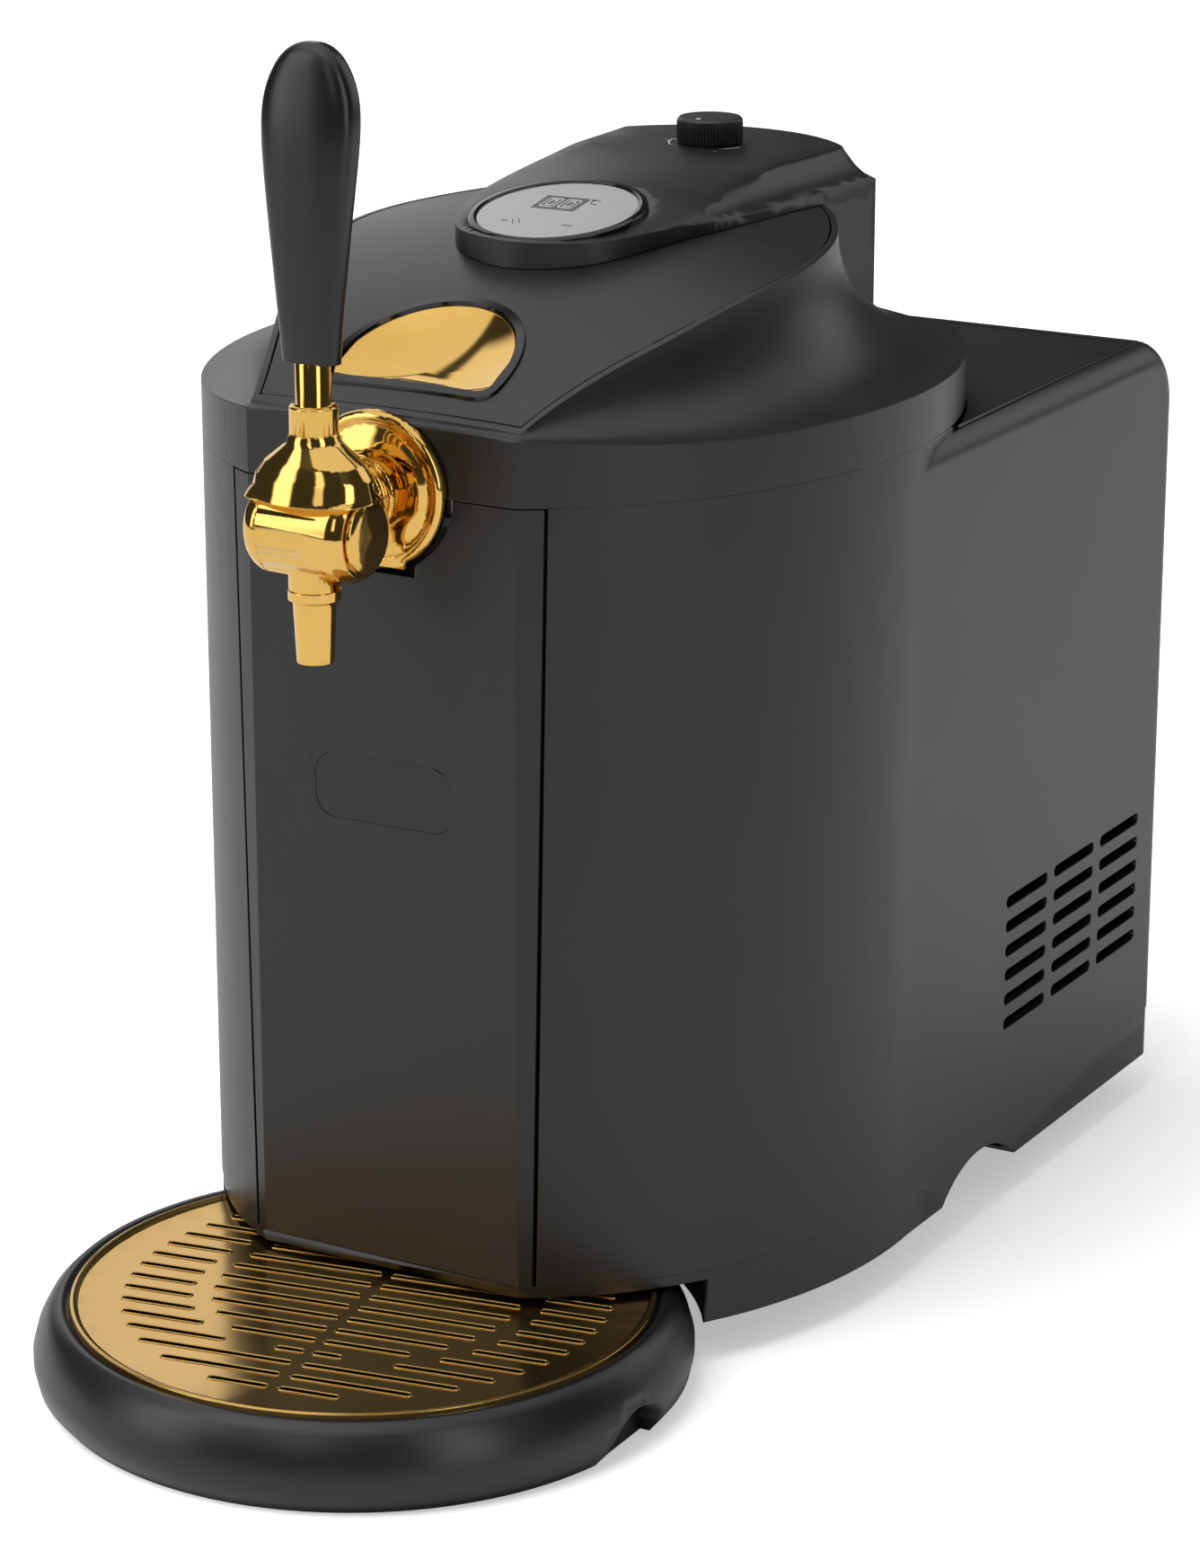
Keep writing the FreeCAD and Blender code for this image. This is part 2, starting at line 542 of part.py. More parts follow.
def dripTray():
    print("drip tray")
    tray = revolved("Tray", [
        (size.trayFoot, 0), (size.trayBelly - 1.2, 5), (size.trayBelly, size.trayBellyZ - 3),
        (size.trayBelly, size.trayBellyZ + 1), (size.trayBelly - 1.8, 21), (size.trayBelly - 5, 27),
        (size.trayRim + 1, size.trayTop), (size.trayRim - 1.6, size.trayTop), (size.trayRim - 2.6, size.plateUnder),
        (size.trayRim - 7, size.plateUnder), (size.trayRim - 7, size.plateUnder - 3),
        (size.trayInner + 1, size.plateUnder - 8), (size.trayInner, size.trayFloor), (size.trayInner, 0)],
        0, size.trayY, 0)
    # finger notches let the tray be drawn out from either side
    notches = [rod("TrayNotch%s" % word, 16, 20, start, size.trayY - 9.5, 0, "x")
               for word, start in (("Left", -125), ("Right", 105))]
    finished(cut("DripTray", tray, *notches), "drip_tray")
    finished(rod("TrayFloor", size.trayInner, size.trayFloor, 0, size.trayY, 0), "tray_floor")
    drips = plateSlots()
    disc = revolved("PlateDisc", [
        (0, size.plateUnder), (size.plateRadius, size.plateUnder), (size.plateRadius, size.trayTop + 0.6),
        (size.plateRadius - 1, size.trayTop + 1), (size.plateRadius - 2.4, size.trayTop + 0.6),
        (size.plateRadius - 2.8, size.plateUnder + size.plateThick), (0, size.plateUnder + size.plateThick)],
        0, size.trayY, 0)
    finished(cut("DripPlate", disc, shaped("PlateSlots", drips)), "drip_plate")


def plateSlots():
    # Parallel slots: one field in a ring and one in the middle, all turned a little from X.
    pitch, wide = num(size.slotPitch), num(size.slotWide)
    ringIn, ringOut, middle, shortest = 61.0, 85.0, 54.0, 9.0
    firstRow, patternX = 5.6, 2.0
    slots = []
    for row in range(-9, 9):
        y = firstRow + row * pitch
        spans = []
        if abs(y) < ringOut:
            outer = math.sqrt(ringOut ** 2 - y * y)
            inner = math.sqrt(max(0.0, ringIn ** 2 - y * y))
            spans += [(inner, outer), (-outer, -inner)] if inner > 6 else [(2, outer), (-outer, -2)]
        if abs(y) < middle:
            reach = math.sqrt(middle ** 2 - y * y)
            spans += [(-reach, -1.5), (1.5, reach)]
        for start, end in spans:
            if end - start > shortest:
                near, far = start + wide / 2 + patternX, end - wide / 2 + patternX
                slots.append(Part.makeBox(far - near, wide, 20, FreeCAD.Vector(near, y - wide / 2, 20)))
                slots += [Part.makeCylinder(wide / 2, 20, FreeCAD.Vector(x, y, 20)) for x in (near, far)]
    field = slots[0].multiFuse(slots[1:]).removeSplitter()
    field.rotate(FreeCAD.Vector(0, 0, 0), FreeCAD.Vector(0, 0, 1), num(size.slotTurn))
    field.translate(point(0, size.trayY, 0))
    return field


def drumProfile(grow, left, right):
    # a drum on its side with well rounded ends: radius and place along X, from left end to right end
    round8 = num(size.drumRound) + grow
    straight = num(size.drumRadius) - num(size.drumRound)
    quarter = [math.radians(15 * step) for step in range(7)]
    corners = [(straight + round8 * math.sin(turn), left - round8 * math.cos(turn)) for turn in quarter]
    corners += [(straight + round8 * math.cos(turn), right + round8 * math.sin(turn)) for turn in quarter]
    return [(0, left - round8 - 0.6)] + corners + [(0, right + round8 + 0.6)]


def tapParts():
    print("tap")
    y, z = size.tapY, size.tapZ
    # drum on its side, with the stepped shank behind it and a boss below for the spout
    left, right = num(size.drumLeft), num(size.drumRight)
    profile = drumProfile(0, left, right)
    shell = revolved("Drum", profile, 0, y, z, "x")
    endRoom = block("DrumEnd", size.capStart, y - 40, z - 40, 40, 80, 80)
    domeRoom = block("DrumDome", size.drumLeft - 40, y - 40, z - 40, 40, 80, 80)
    neck = rod("Neck", 11, 20, 0, y + 8, size.flangeZ - 0.5, "y")
    ribs = [rod("NeckRib%d" % count, radius, 2.2, 0, y + back, size.flangeZ - 0.5, "y")
            for count, (radius, back) in enumerate(((13.2, 17), (12.4, 20.5), (13.2, 24)))]
    shank = rod("Shank", size.shankRadius, 39, 0, y + 20, size.flangeZ - 0.5, "y")
    boss = rod("SpoutBoss", 8.4, 12, 0, size.spoutY, size.spoutBottom + 24.4, "z")
    plugBore = rod("PlugBore", size.plugRadius + 0.05, 60, size.drumLeft + 1.8, y, z, "x")
    wayBack = rod("WayBack", 3.5, 80, 0, y + 2, size.flangeZ - 0.5, "y")
    wayDown = rod("WayDown", 3.5, 30, 0, size.spoutY, z - 26, "z")
    body = cut("TapBody", fuse("TapSolid", shell, neck, shank, boss, *ribs), plugBore, wayBack, wayDown,
               endRoom, domeRoom)
    finished(body, "tap_body")
    ends = [corner for corner in profile if corner[1] <= left + 0.01]
    finished(revolved("TapDome", ends + [(0, left)], 0, y, z, "x"), "tap_dome")
    spout = revolved("TapSpout", [(3.5, 0), (6.2, 0), (7.2, 20.4), (8.7, 21.2), (8.7, 24.4), (3.5, 24.4)],
                     0, size.spoutY, size.spoutBottom)
    finished(spout, "tap_spout")
    # flange: domed rosette with a rolled rim and a tab at its foot
    rosette = revolved("Rosette", [
        (size.shankRadius + 0.05, 0), (size.flangeRadius, 0), (size.flangeRadius, -2.2),
        (size.flangeRadius - 1.2, -3.6), (size.flangeRadius - 3, -3.8), (size.flangeRadius - 4.4, -2.8), (18, -4.4), (14, -5.2),
        (size.shankRadius + 0.05, -5.4)], 0, -0.8, size.flangeZ - 0.5, "y")
    tab = block("FlangeTab", -12, -4.2, 285.6, 24, 3.4, 12)
    tabHole = rod("TabHole", size.shankRadius + 4, 40, 0, -20, size.flangeZ - 0.5, "y")
    finished(fuse("Flange", rosette, cut("FlangeFoot", tab, tabHole)), "tap_flange")
    plate = block("BracketPlate", -24, 6, size.deckZ + size.deckThick, 48, 3, 25)
    foot = block("BracketFoot", -24, 9, size.deckZ + size.deckThick, 48, 10, 2.4)
    hole = rod("BracketHole", size.shankRadius + 0.05, 30, 0, -4, size.flangeZ - 0.5, "y")
    spacer = rod("BracketSpacer", 12, 6.8, 0, -0.8, size.flangeZ - 0.5, "y")
    finished(cut("TapBracket", fuse("BracketSolid", plate, foot, spacer), hole,
                 rod("NutRoom", 13, 10, 0, 9, size.flangeZ - 0.5, "y")), "tap_bracket")
    bore = size.shankRadius + 0.05
    washer = revolved("Washer", [(bore, 0), (12, 0), (12, 1.4), (bore, 1.4)], 0, 9, size.flangeZ - 0.5, "y")
    finished(washer, "shank_washer")
    nut = newBody("Nut", 0, 10.4, size.flangeZ - 0.5, "y")
    reach = 12.4
    sixths = [math.radians(60 * corner) for corner in range(6)]
    corners = [(reach * math.cos(angle), reach * math.sin(angle)) for angle in sixths]
    padded(nut, polygonSketch(nut, "NutOutline", "XY_Plane", corners), "NutPad", 7)
    doc.recompute()
    thread = nut.newObject("PartDesign::Pocket", "NutBore")
    thread.Profile = circleSketch(nut, "NutBoreOutline", "XY_Plane", size.shankRadius + 0.05)
    thread.Type = "ThroughAll"
    thread.Reversed = True
    finished(nut, "shank_nut")
    # socket at the shank's end, with an upward mouth that the lid's pipe drops into
    socketBody = rod("SocketBody", 8, 14, 0, 22, size.flangeZ - 0.5, "y")
    mouth = rod("SocketMouth", 6.4, 8.4, 0, 31, size.flangeZ, "z")
    way = rod("SocketWay", 2.6, 12, 0, 20, size.flangeZ - 0.5, "y")
    port = rod("SocketPort", 3.4, 20, 0, 31, size.flangeZ - 1.5, "z")
    finished(cut("Socket", fuse("SocketSolid", socketBody, mouth), way, port), "beer_socket")


def drumShape(grow, left, right):
    # the drum's form as a solid, grown all round
    y, z = num(size.tapY), num(size.tapZ)
    corners = [point(place, y, z + radius) for radius, place in drumProfile(grow, left, right)]
    outline = Part.Face(Part.makePolygon(corners + corners[:1]))
    return outline.revolve(point(0, y, z), FreeCAD.Vector(1, 0, 0), 360)


def ovalRing(across, deep, middle, height, count=24):
    turns = [2 * math.pi * step / count for step in range(count)]
    spots = [point(across * math.cos(turn), middle + deep * math.sin(turn), height) for turn in turns]
    curve = Part.BSplineCurve()
    curve.interpolate(Points=spots, PeriodicFlag=True)
    return Part.Wire([curve.toShape()])


def leverParts():
    print("lever")
    y, z = size.tapY, size.tapZ
    left, right, start = num(size.drumLeft), num(size.drumRight), num(size.capStart)
    # a shell over the top of the drum that rises in a saddle to the stem
    middle = -38.5
    rings = [ovalRing(across, deep, middle, height) for height, across, deep in (
        (312, 22.6, 17.2), (317, 22.4, 16.4), (323.5, 20.8, 14.5), (328, 17.5, 12.5), (331.5, 13, 10.5),
        (334.5, 9.2, 8.8), (337.6, 8, 8))]
    axisY, axisZ = num(y), num(z)
    lower = Part.makeBox(120, 120, 71, point(-60, axisY - 60, axisZ - 60))
    behind = Part.makeBox(120, 60, 39, point(-60, axisY, axisZ - 20))
    blank = drumShape(2.2, left, right).fuse(Part.makeLoft(rings, True, True))
    yoke = blank.cut(lower).cut(behind).cut(drumShape(0.4, left, right))
    finished(shaped("Yoke", yoke.Solids[0]), "lever_yoke")
    stem = revolved("Stem", [
        (0, 337.6), (size.sleeveRadius, 337.6), (size.sleeveRadius, 346), (size.sleeveRadius - 0.7, 346.7),
        (size.stemRadius, 346.7), (size.stemRadius, size.handleBottom), (3, size.handleBottom), (3, 380), (0, 380)],
        0, size.spoutY + 1.5, 0)
    finished(stem, "lever_stem")
    plug = rod("Plug", size.plugRadius, start - left - 2, size.drumLeft + 2, y, z, "x")
    way = rod("PlugWay", 3, 40, 0, y, z - 20, "z")
    finished(cut("ValvePlug", plug, way), "valve_plug")
    ends = [corner for corner in drumProfile(0, left, right) if corner[1] > start + 0.3]
    finished(revolved("EndCap", [(0, start + 0.05), (ends[0][0] + 0.3, start + 0.05)] + ends, 0, y, z, "x"),
             "tap_end_cap")
    handle = shaped("Handle", handleShape())
    finished(cut("LeverHandle", handle, rod("HandleBore", 3, 20, 0, size.spoutY + 1.5, size.handleBottom - 0.5)),
             "lever_handle")


def handleShape():
    # A paddle that widens upwards: height, half width, half depth and the middle of its depth.
    sections = ((360.5, 10.2, 4.6, -38.9), (385, 12.4, 5.6, -38.9), (410, 15, 6.7, -38.3),
                (432, 17, 7.5, -37.2), (446, 16.1, 7.2, -36.2), (455.5, 12, 6, -35.6), (460.4, 7, 4, -35.3),
                (462, 2, 1.3, -35.2))
    sizes, middles = Part.BSplineCurve(), Part.BSplineCurve()
    steps = [float(step) for step in range(len(sections))]
    sizes.interpolate(Points=[FreeCAD.Vector(half, deep, z) for z, half, deep, middle in sections],
                      Parameters=steps)
    middles.interpolate(Points=[FreeCAD.Vector(middle, 0, z) for z, half, deep, middle in sections],
                        Parameters=steps)
    perSection, around = 4, 32
    wires = []
    for index in range(perSection * (len(sections) - 1) + 1):
        spread = sizes.value(index / perSection)
        middle = middles.value(index / perSection).x
        spots = []
        for turn in range(around):
            angle = 2 * math.pi * turn / around
            across, along = math.cos(angle), math.sin(angle)
            x = math.copysign(spread.x * abs(across) ** 0.7, across)
            y = math.copysign(spread.y * abs(along) ** 0.7, along)
            spots.append(point(x, middle + y, spread.z))
        curve = Part.BSplineCurve()
        curve.interpolate(Points=spots, PeriodicFlag=True)
        wires.append(Part.Wire([curve.toShape()]))
    return Part.makeLoft(wires, True, True)


# The lid's crowned top: height over the plan.
def crownHeight(x, y):
    peak = num(size.crownRise) / (2 * num(size.crownBend))
    bend = num(size.crownBend) if y < peak else num(size.crownFall)
    peakZ = num(size.crownZ) + num(size.crownRise) * peak / 2
    return peakZ - bend * (y - peak) ** 2 - num(size.crownArch) * x * x


def crownSlab(drop, thick):
    grid = [[point(x, y, crownHeight(x, y) - drop) for y in range(-12, 301, 26)] for x in range(-140, 141, 35)]
    surface = Part.BSplineSurface()
    surface.interpolate(grid)
    return surface.toShape().extrude(FreeCAD.Vector(0, 0, -thick))


# Stations round the crowned panel's edge, from the right front corner to the rear middle:
# half width and Y of the panel's edge, and Y of the band below it.
rimStations = ((52, 4, 0), (60, 25, 22), (69, 45, 43), (78, 66, 67), (87.5, 99, 98), (91.5, 130, 132),
               (86, 160, 166), (74.5, 187, 206), (53, 217, 256), (0, 236, 296))


def shrunk(x, y, inset):
    # moves a point of the panel's edge inwards
    return x * (1 - inset / 92.0), 130 + (y - 130) * (1 - inset / 118.0)


def bandHeight(y):
    return num(size.bandTop) + 4.0 * max(0.0, 1 - y / 60.0) ** 2


def stationPair(station, inset):
    rimX, rimY, bandY = station
    rimX, rimY = shrunk(rimX, rimY, inset * 0.9)
    bandY = max(bandY, inset)
    if bandY > 290:
        bandY = bandY - inset
    return (rimX, rimY), (ovalX(bandY, inset), bandY)


def bothSides(spots):
    # right side from front to rear, then back along the left side
    return spots + [FreeCAD.Vector(-spot.x, spot.y, spot.z) for spot in reversed(spots[:-1])]


def level(spots, frontMiddle, parameters):
    curve = Part.BSplineCurve()
    curve.interpolate(Points=spots, Parameters=parameters)
    closing = Part.Arc(spots[-1], frontMiddle, spots[0])
    return Part.Wire([curve.toShape(), closing.toShape()])


def lidBlock(inset, drop, steps=9):
    pairs = [stationPair(station, inset) for station in rimStations]
    bands = bothSides([point(x, y, 0) for rim, (x, y) in pairs])
    parameters = [0.0]
    for before, after in zip(bands, bands[1:]):
        parameters.append(parameters[-1] + (after - before).Length)
    wires = []

    def addLevel(blend, heightOf, middle):
        spots = []
        for (rimX, rimY), (bandX, bandY) in pairs:
            x = bandX + (rimX - bandX) * blend
            y = bandY + (rimY - bandY) * blend
            spots.append(point(x, y, heightOf(rimX, rimY, bandY)))
        wires.append(level(bothSides(spots), middle, parameters))

    low = num(size.seam) - (5 if inset else 0)
    rimFront = 3 + inset * 0.9
    addLevel(0, lambda x, y, band: low, point(0, inset - 0.001, low))
    midBand = bandHeight(0) + 0.8 - drop
    midRim = crownHeight(0, rimFront) - drop
    for step in range(steps + 1):
        angle = math.radians(90 * step / steps)
        inwards, upwards = math.sin(angle), 1 - math.cos(angle)
        addLevel(inwards, lambda x, y, band: (bandHeight(band) - drop) * (1 - upwards)
                 + (crownHeight(x, y) - drop) * upwards,
                 point(0, inset + (rimFront - inset) * inwards, midBand + (midRim - midBand) * upwards))
    addLevel(1, lambda x, y, band: 410, point(0, rimFront, 410))
    return Part.makeLoft(wires, True, True)


def panelPrism(inset, low, high):
    spots = bothSides([point(*shrunk(rimX, rimY, inset), low) for rimX, rimY, bandY in rimStations])
    curve = Part.BSplineCurve()
    curve.interpolate(Points=spots)
    front = Part.Arc(spots[-1], point(0, 3 + inset, low), spots[0])
    outline = Part.Face(Part.Wire([curve.toShape(), front.toShape()]))
    return outline.extrude(FreeCAD.Vector(0, 0, high - low))


def halfMoon(grow, low, high):
    # outline of the release button: half an oval, cut across at the front
    across, rise = num(size.scoopHalf) + grow, num(size.scoopRise) + grow
    front = num(size.scoopFront) - grow
    if rise > across:
        oval = Part.Ellipse(point(0, num(size.scoopY) + rise, low), point(across, size.scoopY, low),
                            point(0, size.scoopY, low))
    else:
        oval = Part.Ellipse(point(0, size.scoopY, low), across, rise)
    column = Part.Face(Part.Wire([oval.toShape()])).extrude(FreeCAD.Vector(0, 0, high - low))
    behind = Part.makeBox(200, 200, high - low + 2, point(-100, front, low - 1))
    shape = column.common(behind)
    corners = [edge for edge in shape.Edges if abs(edge.tangentAt(edge.FirstParameter).z) > 0.9
               and edge.CenterOfMass.y < num(size.front) + front + 0.5 and abs(edge.CenterOfMass.x) > 5]
    return shape.makeFillet(5 + grow * 0.5, corners)


def rearLimit(y):
    return Part.makeBox(400, 420, 300, point(-200, y, 200))


def lidParts():
    print("lid")
    under = crownSlab(0, 160)
    outside = lidBlock(0, 0).common(under).cut(rearLimit(num(size.lidRear)))
    inside = lidBlock(num(size.lidWall), num(size.lidWall)).cut(rearLimit(num(size.lidRear) - num(size.lidWall)))
    shankNotch = Part.makeCylinder(15, 12, point(0, -4, num(size.flangeZ) - 0.5), FreeCAD.Vector(0, 1, 0))
    shankNotch = shankNotch.fuse(Part.makeBox(30, 12, 20, point(-15, -4, num(size.flangeZ) - 20.5)))
    shaftHole = Part.makeCylinder(6, 100, point(0, size.knobY, 330))
    shell = outside.cut(inside).cut(shankNotch).cut(shaftHole)
    finished(shaped("LidShell", shell), "lid_shell")

    panel = crownSlab(0.15, num(size.panelThick)).common(panelPrism(3.0, 300, 410))
    panel = panel.cut(halfMoon(3.3, 300, 410))
    panel = panel.cut(Part.makeCylinder(3.4, 100, point(0, size.knobY, 330)))
    panel = panel.cut(rearLimit(num(size.lidRear) - num(size.lidWall)))
    finished(shaped("LidPanel", panel), "lid_panel")

    rim = halfMoon(3.2, 300, 410).cut(halfMoon(0.3, 300, 410)).common(crownSlab(-0.9, 9))
    finished(shaped("ScoopRim", rim), "scoop_rim")
    button = halfMoon(0, 300, 410).common(crownSlab(0.1, num(size.buttonDeep)))
    dish = Part.makeSphere(1)
    stretch = FreeCAD.Matrix()
    stretch.scale(FreeCAD.Vector(33, 25, 18))
    dish = dish.transformGeometry(stretch)
    dish.rotate(FreeCAD.Vector(0, 0, 0), FreeCAD.Vector(1, 0, 0), 24)
    middle = 35
    dish.translate(point(0, middle, crownHeight(0, middle) + 9))
    finished(shaped("ReleaseButton", button.cut(dish)), "release_button")

    # liner under the lid, with a gasket that closes on the tub's rim
    linerOval = ovalPrism("LinerOval", size.lidWall + 1.6, size.linerZ, size.linerZ + size.linerThick,
                          size.lidRear - size.lidWall - 1)
    frontRoom = block("LinerFront", -200, -10, size.linerZ - 5, 400, 52, 20)
    couplerHole = rod("LinerHole", 22.1, 20, 0, size.kegY, size.linerZ - 5)
    finished(cut("LidLiner", linerOval, frontRoom, couplerHole), "lid_liner")
    gasket = revolved("Gasket", [(92, size.tubTop + 0.5), (94, size.tubTop + 0.5), (99, size.linerZ - 2),
                                 (99, size.linerZ), (91, size.linerZ), (91, size.linerZ - 2)], 0, size.kegY, 0)
    finished(gasket, "lid_gasket")
    return outside


# Stations round the spine, from the front middle of the pod to its rear corner:
# half width and Y at its foot, then at its top.
spineStations = ((0, 86, 0, 87.6), (16.5, 90, 14.5, 91.6), (27, 97, 25, 98), (34.5, 107.4, 32.4, 107.4),
                 (41, 121.6, 38, 121.6), (46, 137, 39.5, 137), (49, 147, 39.5, 147), (51.7, 167, 40, 167),
                 (53.6, 191.7, 41, 191.7), (55, 212, 42.6, 212), (57, 232, 43.4, 232), (59, 249, 44.4, 249))
# Height, and how far the outline has moved from its foot to its top.
spineLevels = ((313, 0), (380.4, 0), (382.2, 0.33), (384.6, 0.56), (387.1, 0.72), (389.6, 0.87), (391.8, 0.97),
               (405, 1))


def spineBlock(inset):
    wires = []
    for z, blend in spineLevels:
        spots = []
        for footX, footY, topX, topY in spineStations:
            x = footX + (topX - footX) * blend
            y = footY + (topY - footY) * blend
            x = max(0.0, x - inset) if footX else 0.0
            y = y + inset * max(0.0, 1 - x / 30.0)
            spots.append(point(x, y, z))
        right = spots[1:]
        left = [FreeCAD.Vector(-spot.x, spot.y, spot.z) for spot in reversed(right)]
        curve = Part.BSplineCurve()
        curve.interpolate(Points=left + [spots[0]] + right,
                          Parameters=[float(k) for k in range(2 * len(right) + 1)])
        closing = Part.Arc(right[-1], point(0, num(size.spineRear) - inset, z), left[0])
        wires.append(Part.Wire([curve.toShape(), closing.toShape()]))
    return Part.makeLoft(wires, True, True)


def topHeight(x, y):
    # the spine's top: tilted and crowned at the display, level behind it
    discY, discZ, levelY = num(size.discY), num(size.discZ), 205
    tilt = math.tan(math.radians(num(size.discTilt)))
    tiltEnd, tiltEndZ = discY + 26, discZ + 26 * tilt
    if y <= tiltEnd:
        middle = discZ + (y - discY) * tilt
    else:
        share = min(1.0, (y - tiltEnd) / (levelY - tiltEnd))
        middle = tiltEndZ + (num(size.spineTop) + 0.1 - tiltEndZ) * (2 * share - share * share)
    fall = 0.2 + 3.5 * min(1.0, max(0.0, (levelY - y) / 60.0))
    return middle - fall * (x / 40.0) ** 2


def spineTopBlock(drop):
    # all that lies under the spine's top
    grid = [[point(x, y, topHeight(x, y) - drop) for y in range(60, 301, 12)] for x in range(-72, 73, 12)]
    surface = Part.BSplineSurface()
    surface.interpolate(grid)
    return surface.toShape().extrude(FreeCAD.Vector(0, 0, -100))


def spineParts(lidOutside):
    print("spine and display")
    thick = 2.4
    solid = spineBlock(0).common(spineTopBlock(0))
    filler = crownSlab(0, 160).cut(rearLimit(num(size.lidRear) + 0.2))
    solid = solid.cut(filler.common(panelPrism(1.5, 280, 420))).cut(lidOutside)
    hollow = spineBlock(thick).common(spineTopBlock(thick))
    tiltBack = FreeCAD.Rotation(FreeCAD.Vector(1, 0, 0), num(size.discTilt))
    normal = tiltBack.multVec(FreeCAD.Vector(0, 0, 1))
    centre = point(0, size.discY, size.discZ)
    discRoom = Part.makeCylinder(num(size.discRadius) + 0.05, 20, centre - normal * 3, normal)
    cover = solid.cut(hollow).cut(discRoom)
    cover = cover.cut(Part.makeCylinder(3.4, 100, point(0, size.knobY, 330)))
    finished(shaped("SpineCover", cover), "spine_cover")

    ring = revolved("DisplayRing", [
        (size.glassRadius + 0.05, -3), (size.discRadius, -3), (size.discRadius, -0.6), (size.discRadius - 0.6, 0),
        (size.discRadius - 2, 0.2), (size.glassRadius + 0.05, -0.4)], 0, size.discY, size.discZ)
    ring.Placement.Rotation = tiltBack
    finished(ring, "display_ring")
    glass = revolved("DisplayGlass", [(0, -2.4), (size.glassRadius, -2.4), (size.glassRadius, -0.7),
                                      (size.glassRadius - 0.4, -0.5), (0, -0.5)], 0, size.discY, size.discZ)
    glass.Placement.Rotation = tiltBack
    finished(glass, "display_glass")
    board = Part.makeBox(40, 36, 1.6, FreeCAD.Vector(-20, -18, -5.6))
    digits = Part.makeBox(18, 10, 1.6, FreeCAD.Vector(-9, 0, -4))
    tray = board.fuse(digits)
    tray.rotate(FreeCAD.Vector(0, 0, 0), FreeCAD.Vector(1, 0, 0), num(size.discTilt))
    tray.translate(centre)
    finished(shaped("ControlBoard", tray), "control_board")

    knob = revolved("Knob", [
        (0, 0.3), (size.knobRadius, 0.3), (size.knobRadius, size.knobTop - size.spineTop - 0.8),
        (size.knobRadius - 0.8, size.knobTop - size.spineTop), (0, size.knobTop - size.spineTop)],
        0, size.knobY, size.spineTop)
    shaft = rod("KnobShaft", 3, 21, 0, size.knobY, size.spineTop - 20.5)
    finished(fuse("PressureKnob", knob, shaft), "pressure_knob")


def lidInside():
    print("gas and beer lines")
    # regulator below the knob, carried by a post from the liner
    linerTop = size.linerZ + size.linerThick
    bodyY = size.knobY - 17
    body = rod("RegulatorBody", 14, 38, 0, bodyY, 322)
    neck = rod("RegulatorNeck", 5.5, 14.3, 0, size.knobY, 352)
    shaftRoom = rod("RegulatorRoom", 3.4, 20, 0, size.knobY, 358)
    post = rod("RegulatorPost", 9, 10, 0, bodyY, linerTop)
    outlet = rod("RegulatorOutlet", 4, 24, 0, bodyY - 36, 336, "y")
    cellX, cellZ, cellEnd = 45, 331, 199
    piercer = block("RegulatorHead", -6, cellEnd, linerTop, cellX + 18, 20, 30)
    finished(cut("Regulator", fuse("RegulatorSolid", body, neck, post, outlet, piercer), shaftRoom),
             "regulator_body")
    # cartridge holder in front of it, lying along Y, closed at its front by a screw cap
    holder = rod("HolderTube", 13.5, 84, cellX, cellEnd - 84, cellZ, "y")
    cellRoom = rod("HolderRoom", 11.2, 90, cellX, cellEnd - 88, cellZ, "y")
    saddle = block("HolderSaddle", cellX - 8, cellEnd - 70, linerTop, 16, 50, 8)
    finished(cut("CartridgeHolder", fuse("HolderSolid", holder, saddle), cellRoom), "cartridge_holder")
    cap = revolved("CartridgeCap", [(0, 0), (13, 0), (14, 1), (14, 8), (11.1, 8), (11.1, 14), (0, 14)],
                   cellX, cellEnd - 92.3, cellZ, "y")
    finished(cap, "cartridge_cap")
    # coupler that comes down on the keg when the lid closes
    coupler = revolved("Coupler", [(0, 308), (13, 308), (13, 312), (22, 312), (22, 322), (16, 326), (16, 342),
                                   (0, 342)], 0, size.kegY, 0)
    finished(coupler, "coupler_head")
    seal = revolved("CouplerSeal", [(5, 305.4), (12, 305.4), (12.5, 308), (5, 308)], 0, size.kegY, 0)
    finished(seal, "coupler_seal")
    gasRoute = (point(0, size.knobY - 53, 336), point(0, size.kegY + 10, 336))
    gas = Part.makeCylinder(3, (gasRoute[0] - gasRoute[1]).Length, gasRoute[1], FreeCAD.Vector(0, 1, 0))
    gas = gas.cut(Part.makeCylinder(16, 60, point(0, size.kegY, 320)))
    finished(shaped("GasLine", gas), "gas_line")
    finished(shaped("BeerPipe", beerPipe()), "beer_pipe")


def beerPipe():
    # from the coupler forwards under the crown, then down into the socket behind the tap
    radius, bend = 3.0, 14.0
    top, nozzle = 335.0, num(size.flangeZ) + 3
    startY, endY = num(size.kegY) - 15.5, 31.0
    turn = bend * (1 - math.sqrt(0.5))
    arcMiddle = point(0, endY + turn, top - turn)
    path = Part.Wire([
        Part.LineSegment(point(0, startY, top), point(0, endY + bend, top)).toShape(),
        Part.Arc(point(0, endY + bend, top), arcMiddle, point(0, endY, top - bend)).toShape(),
        Part.LineSegment(point(0, endY, top - bend), point(0, endY, nozzle)).toShape()])
    ring = Part.Wire([Part.Circle(point(0, startY, top), FreeCAD.Vector(0, 1, 0), radius).toShape()])
    pipe = path.makePipeShell([ring], True, False)
    return pipe.cut(Part.makeCylinder(16, 60, point(0, size.kegY, 320)))


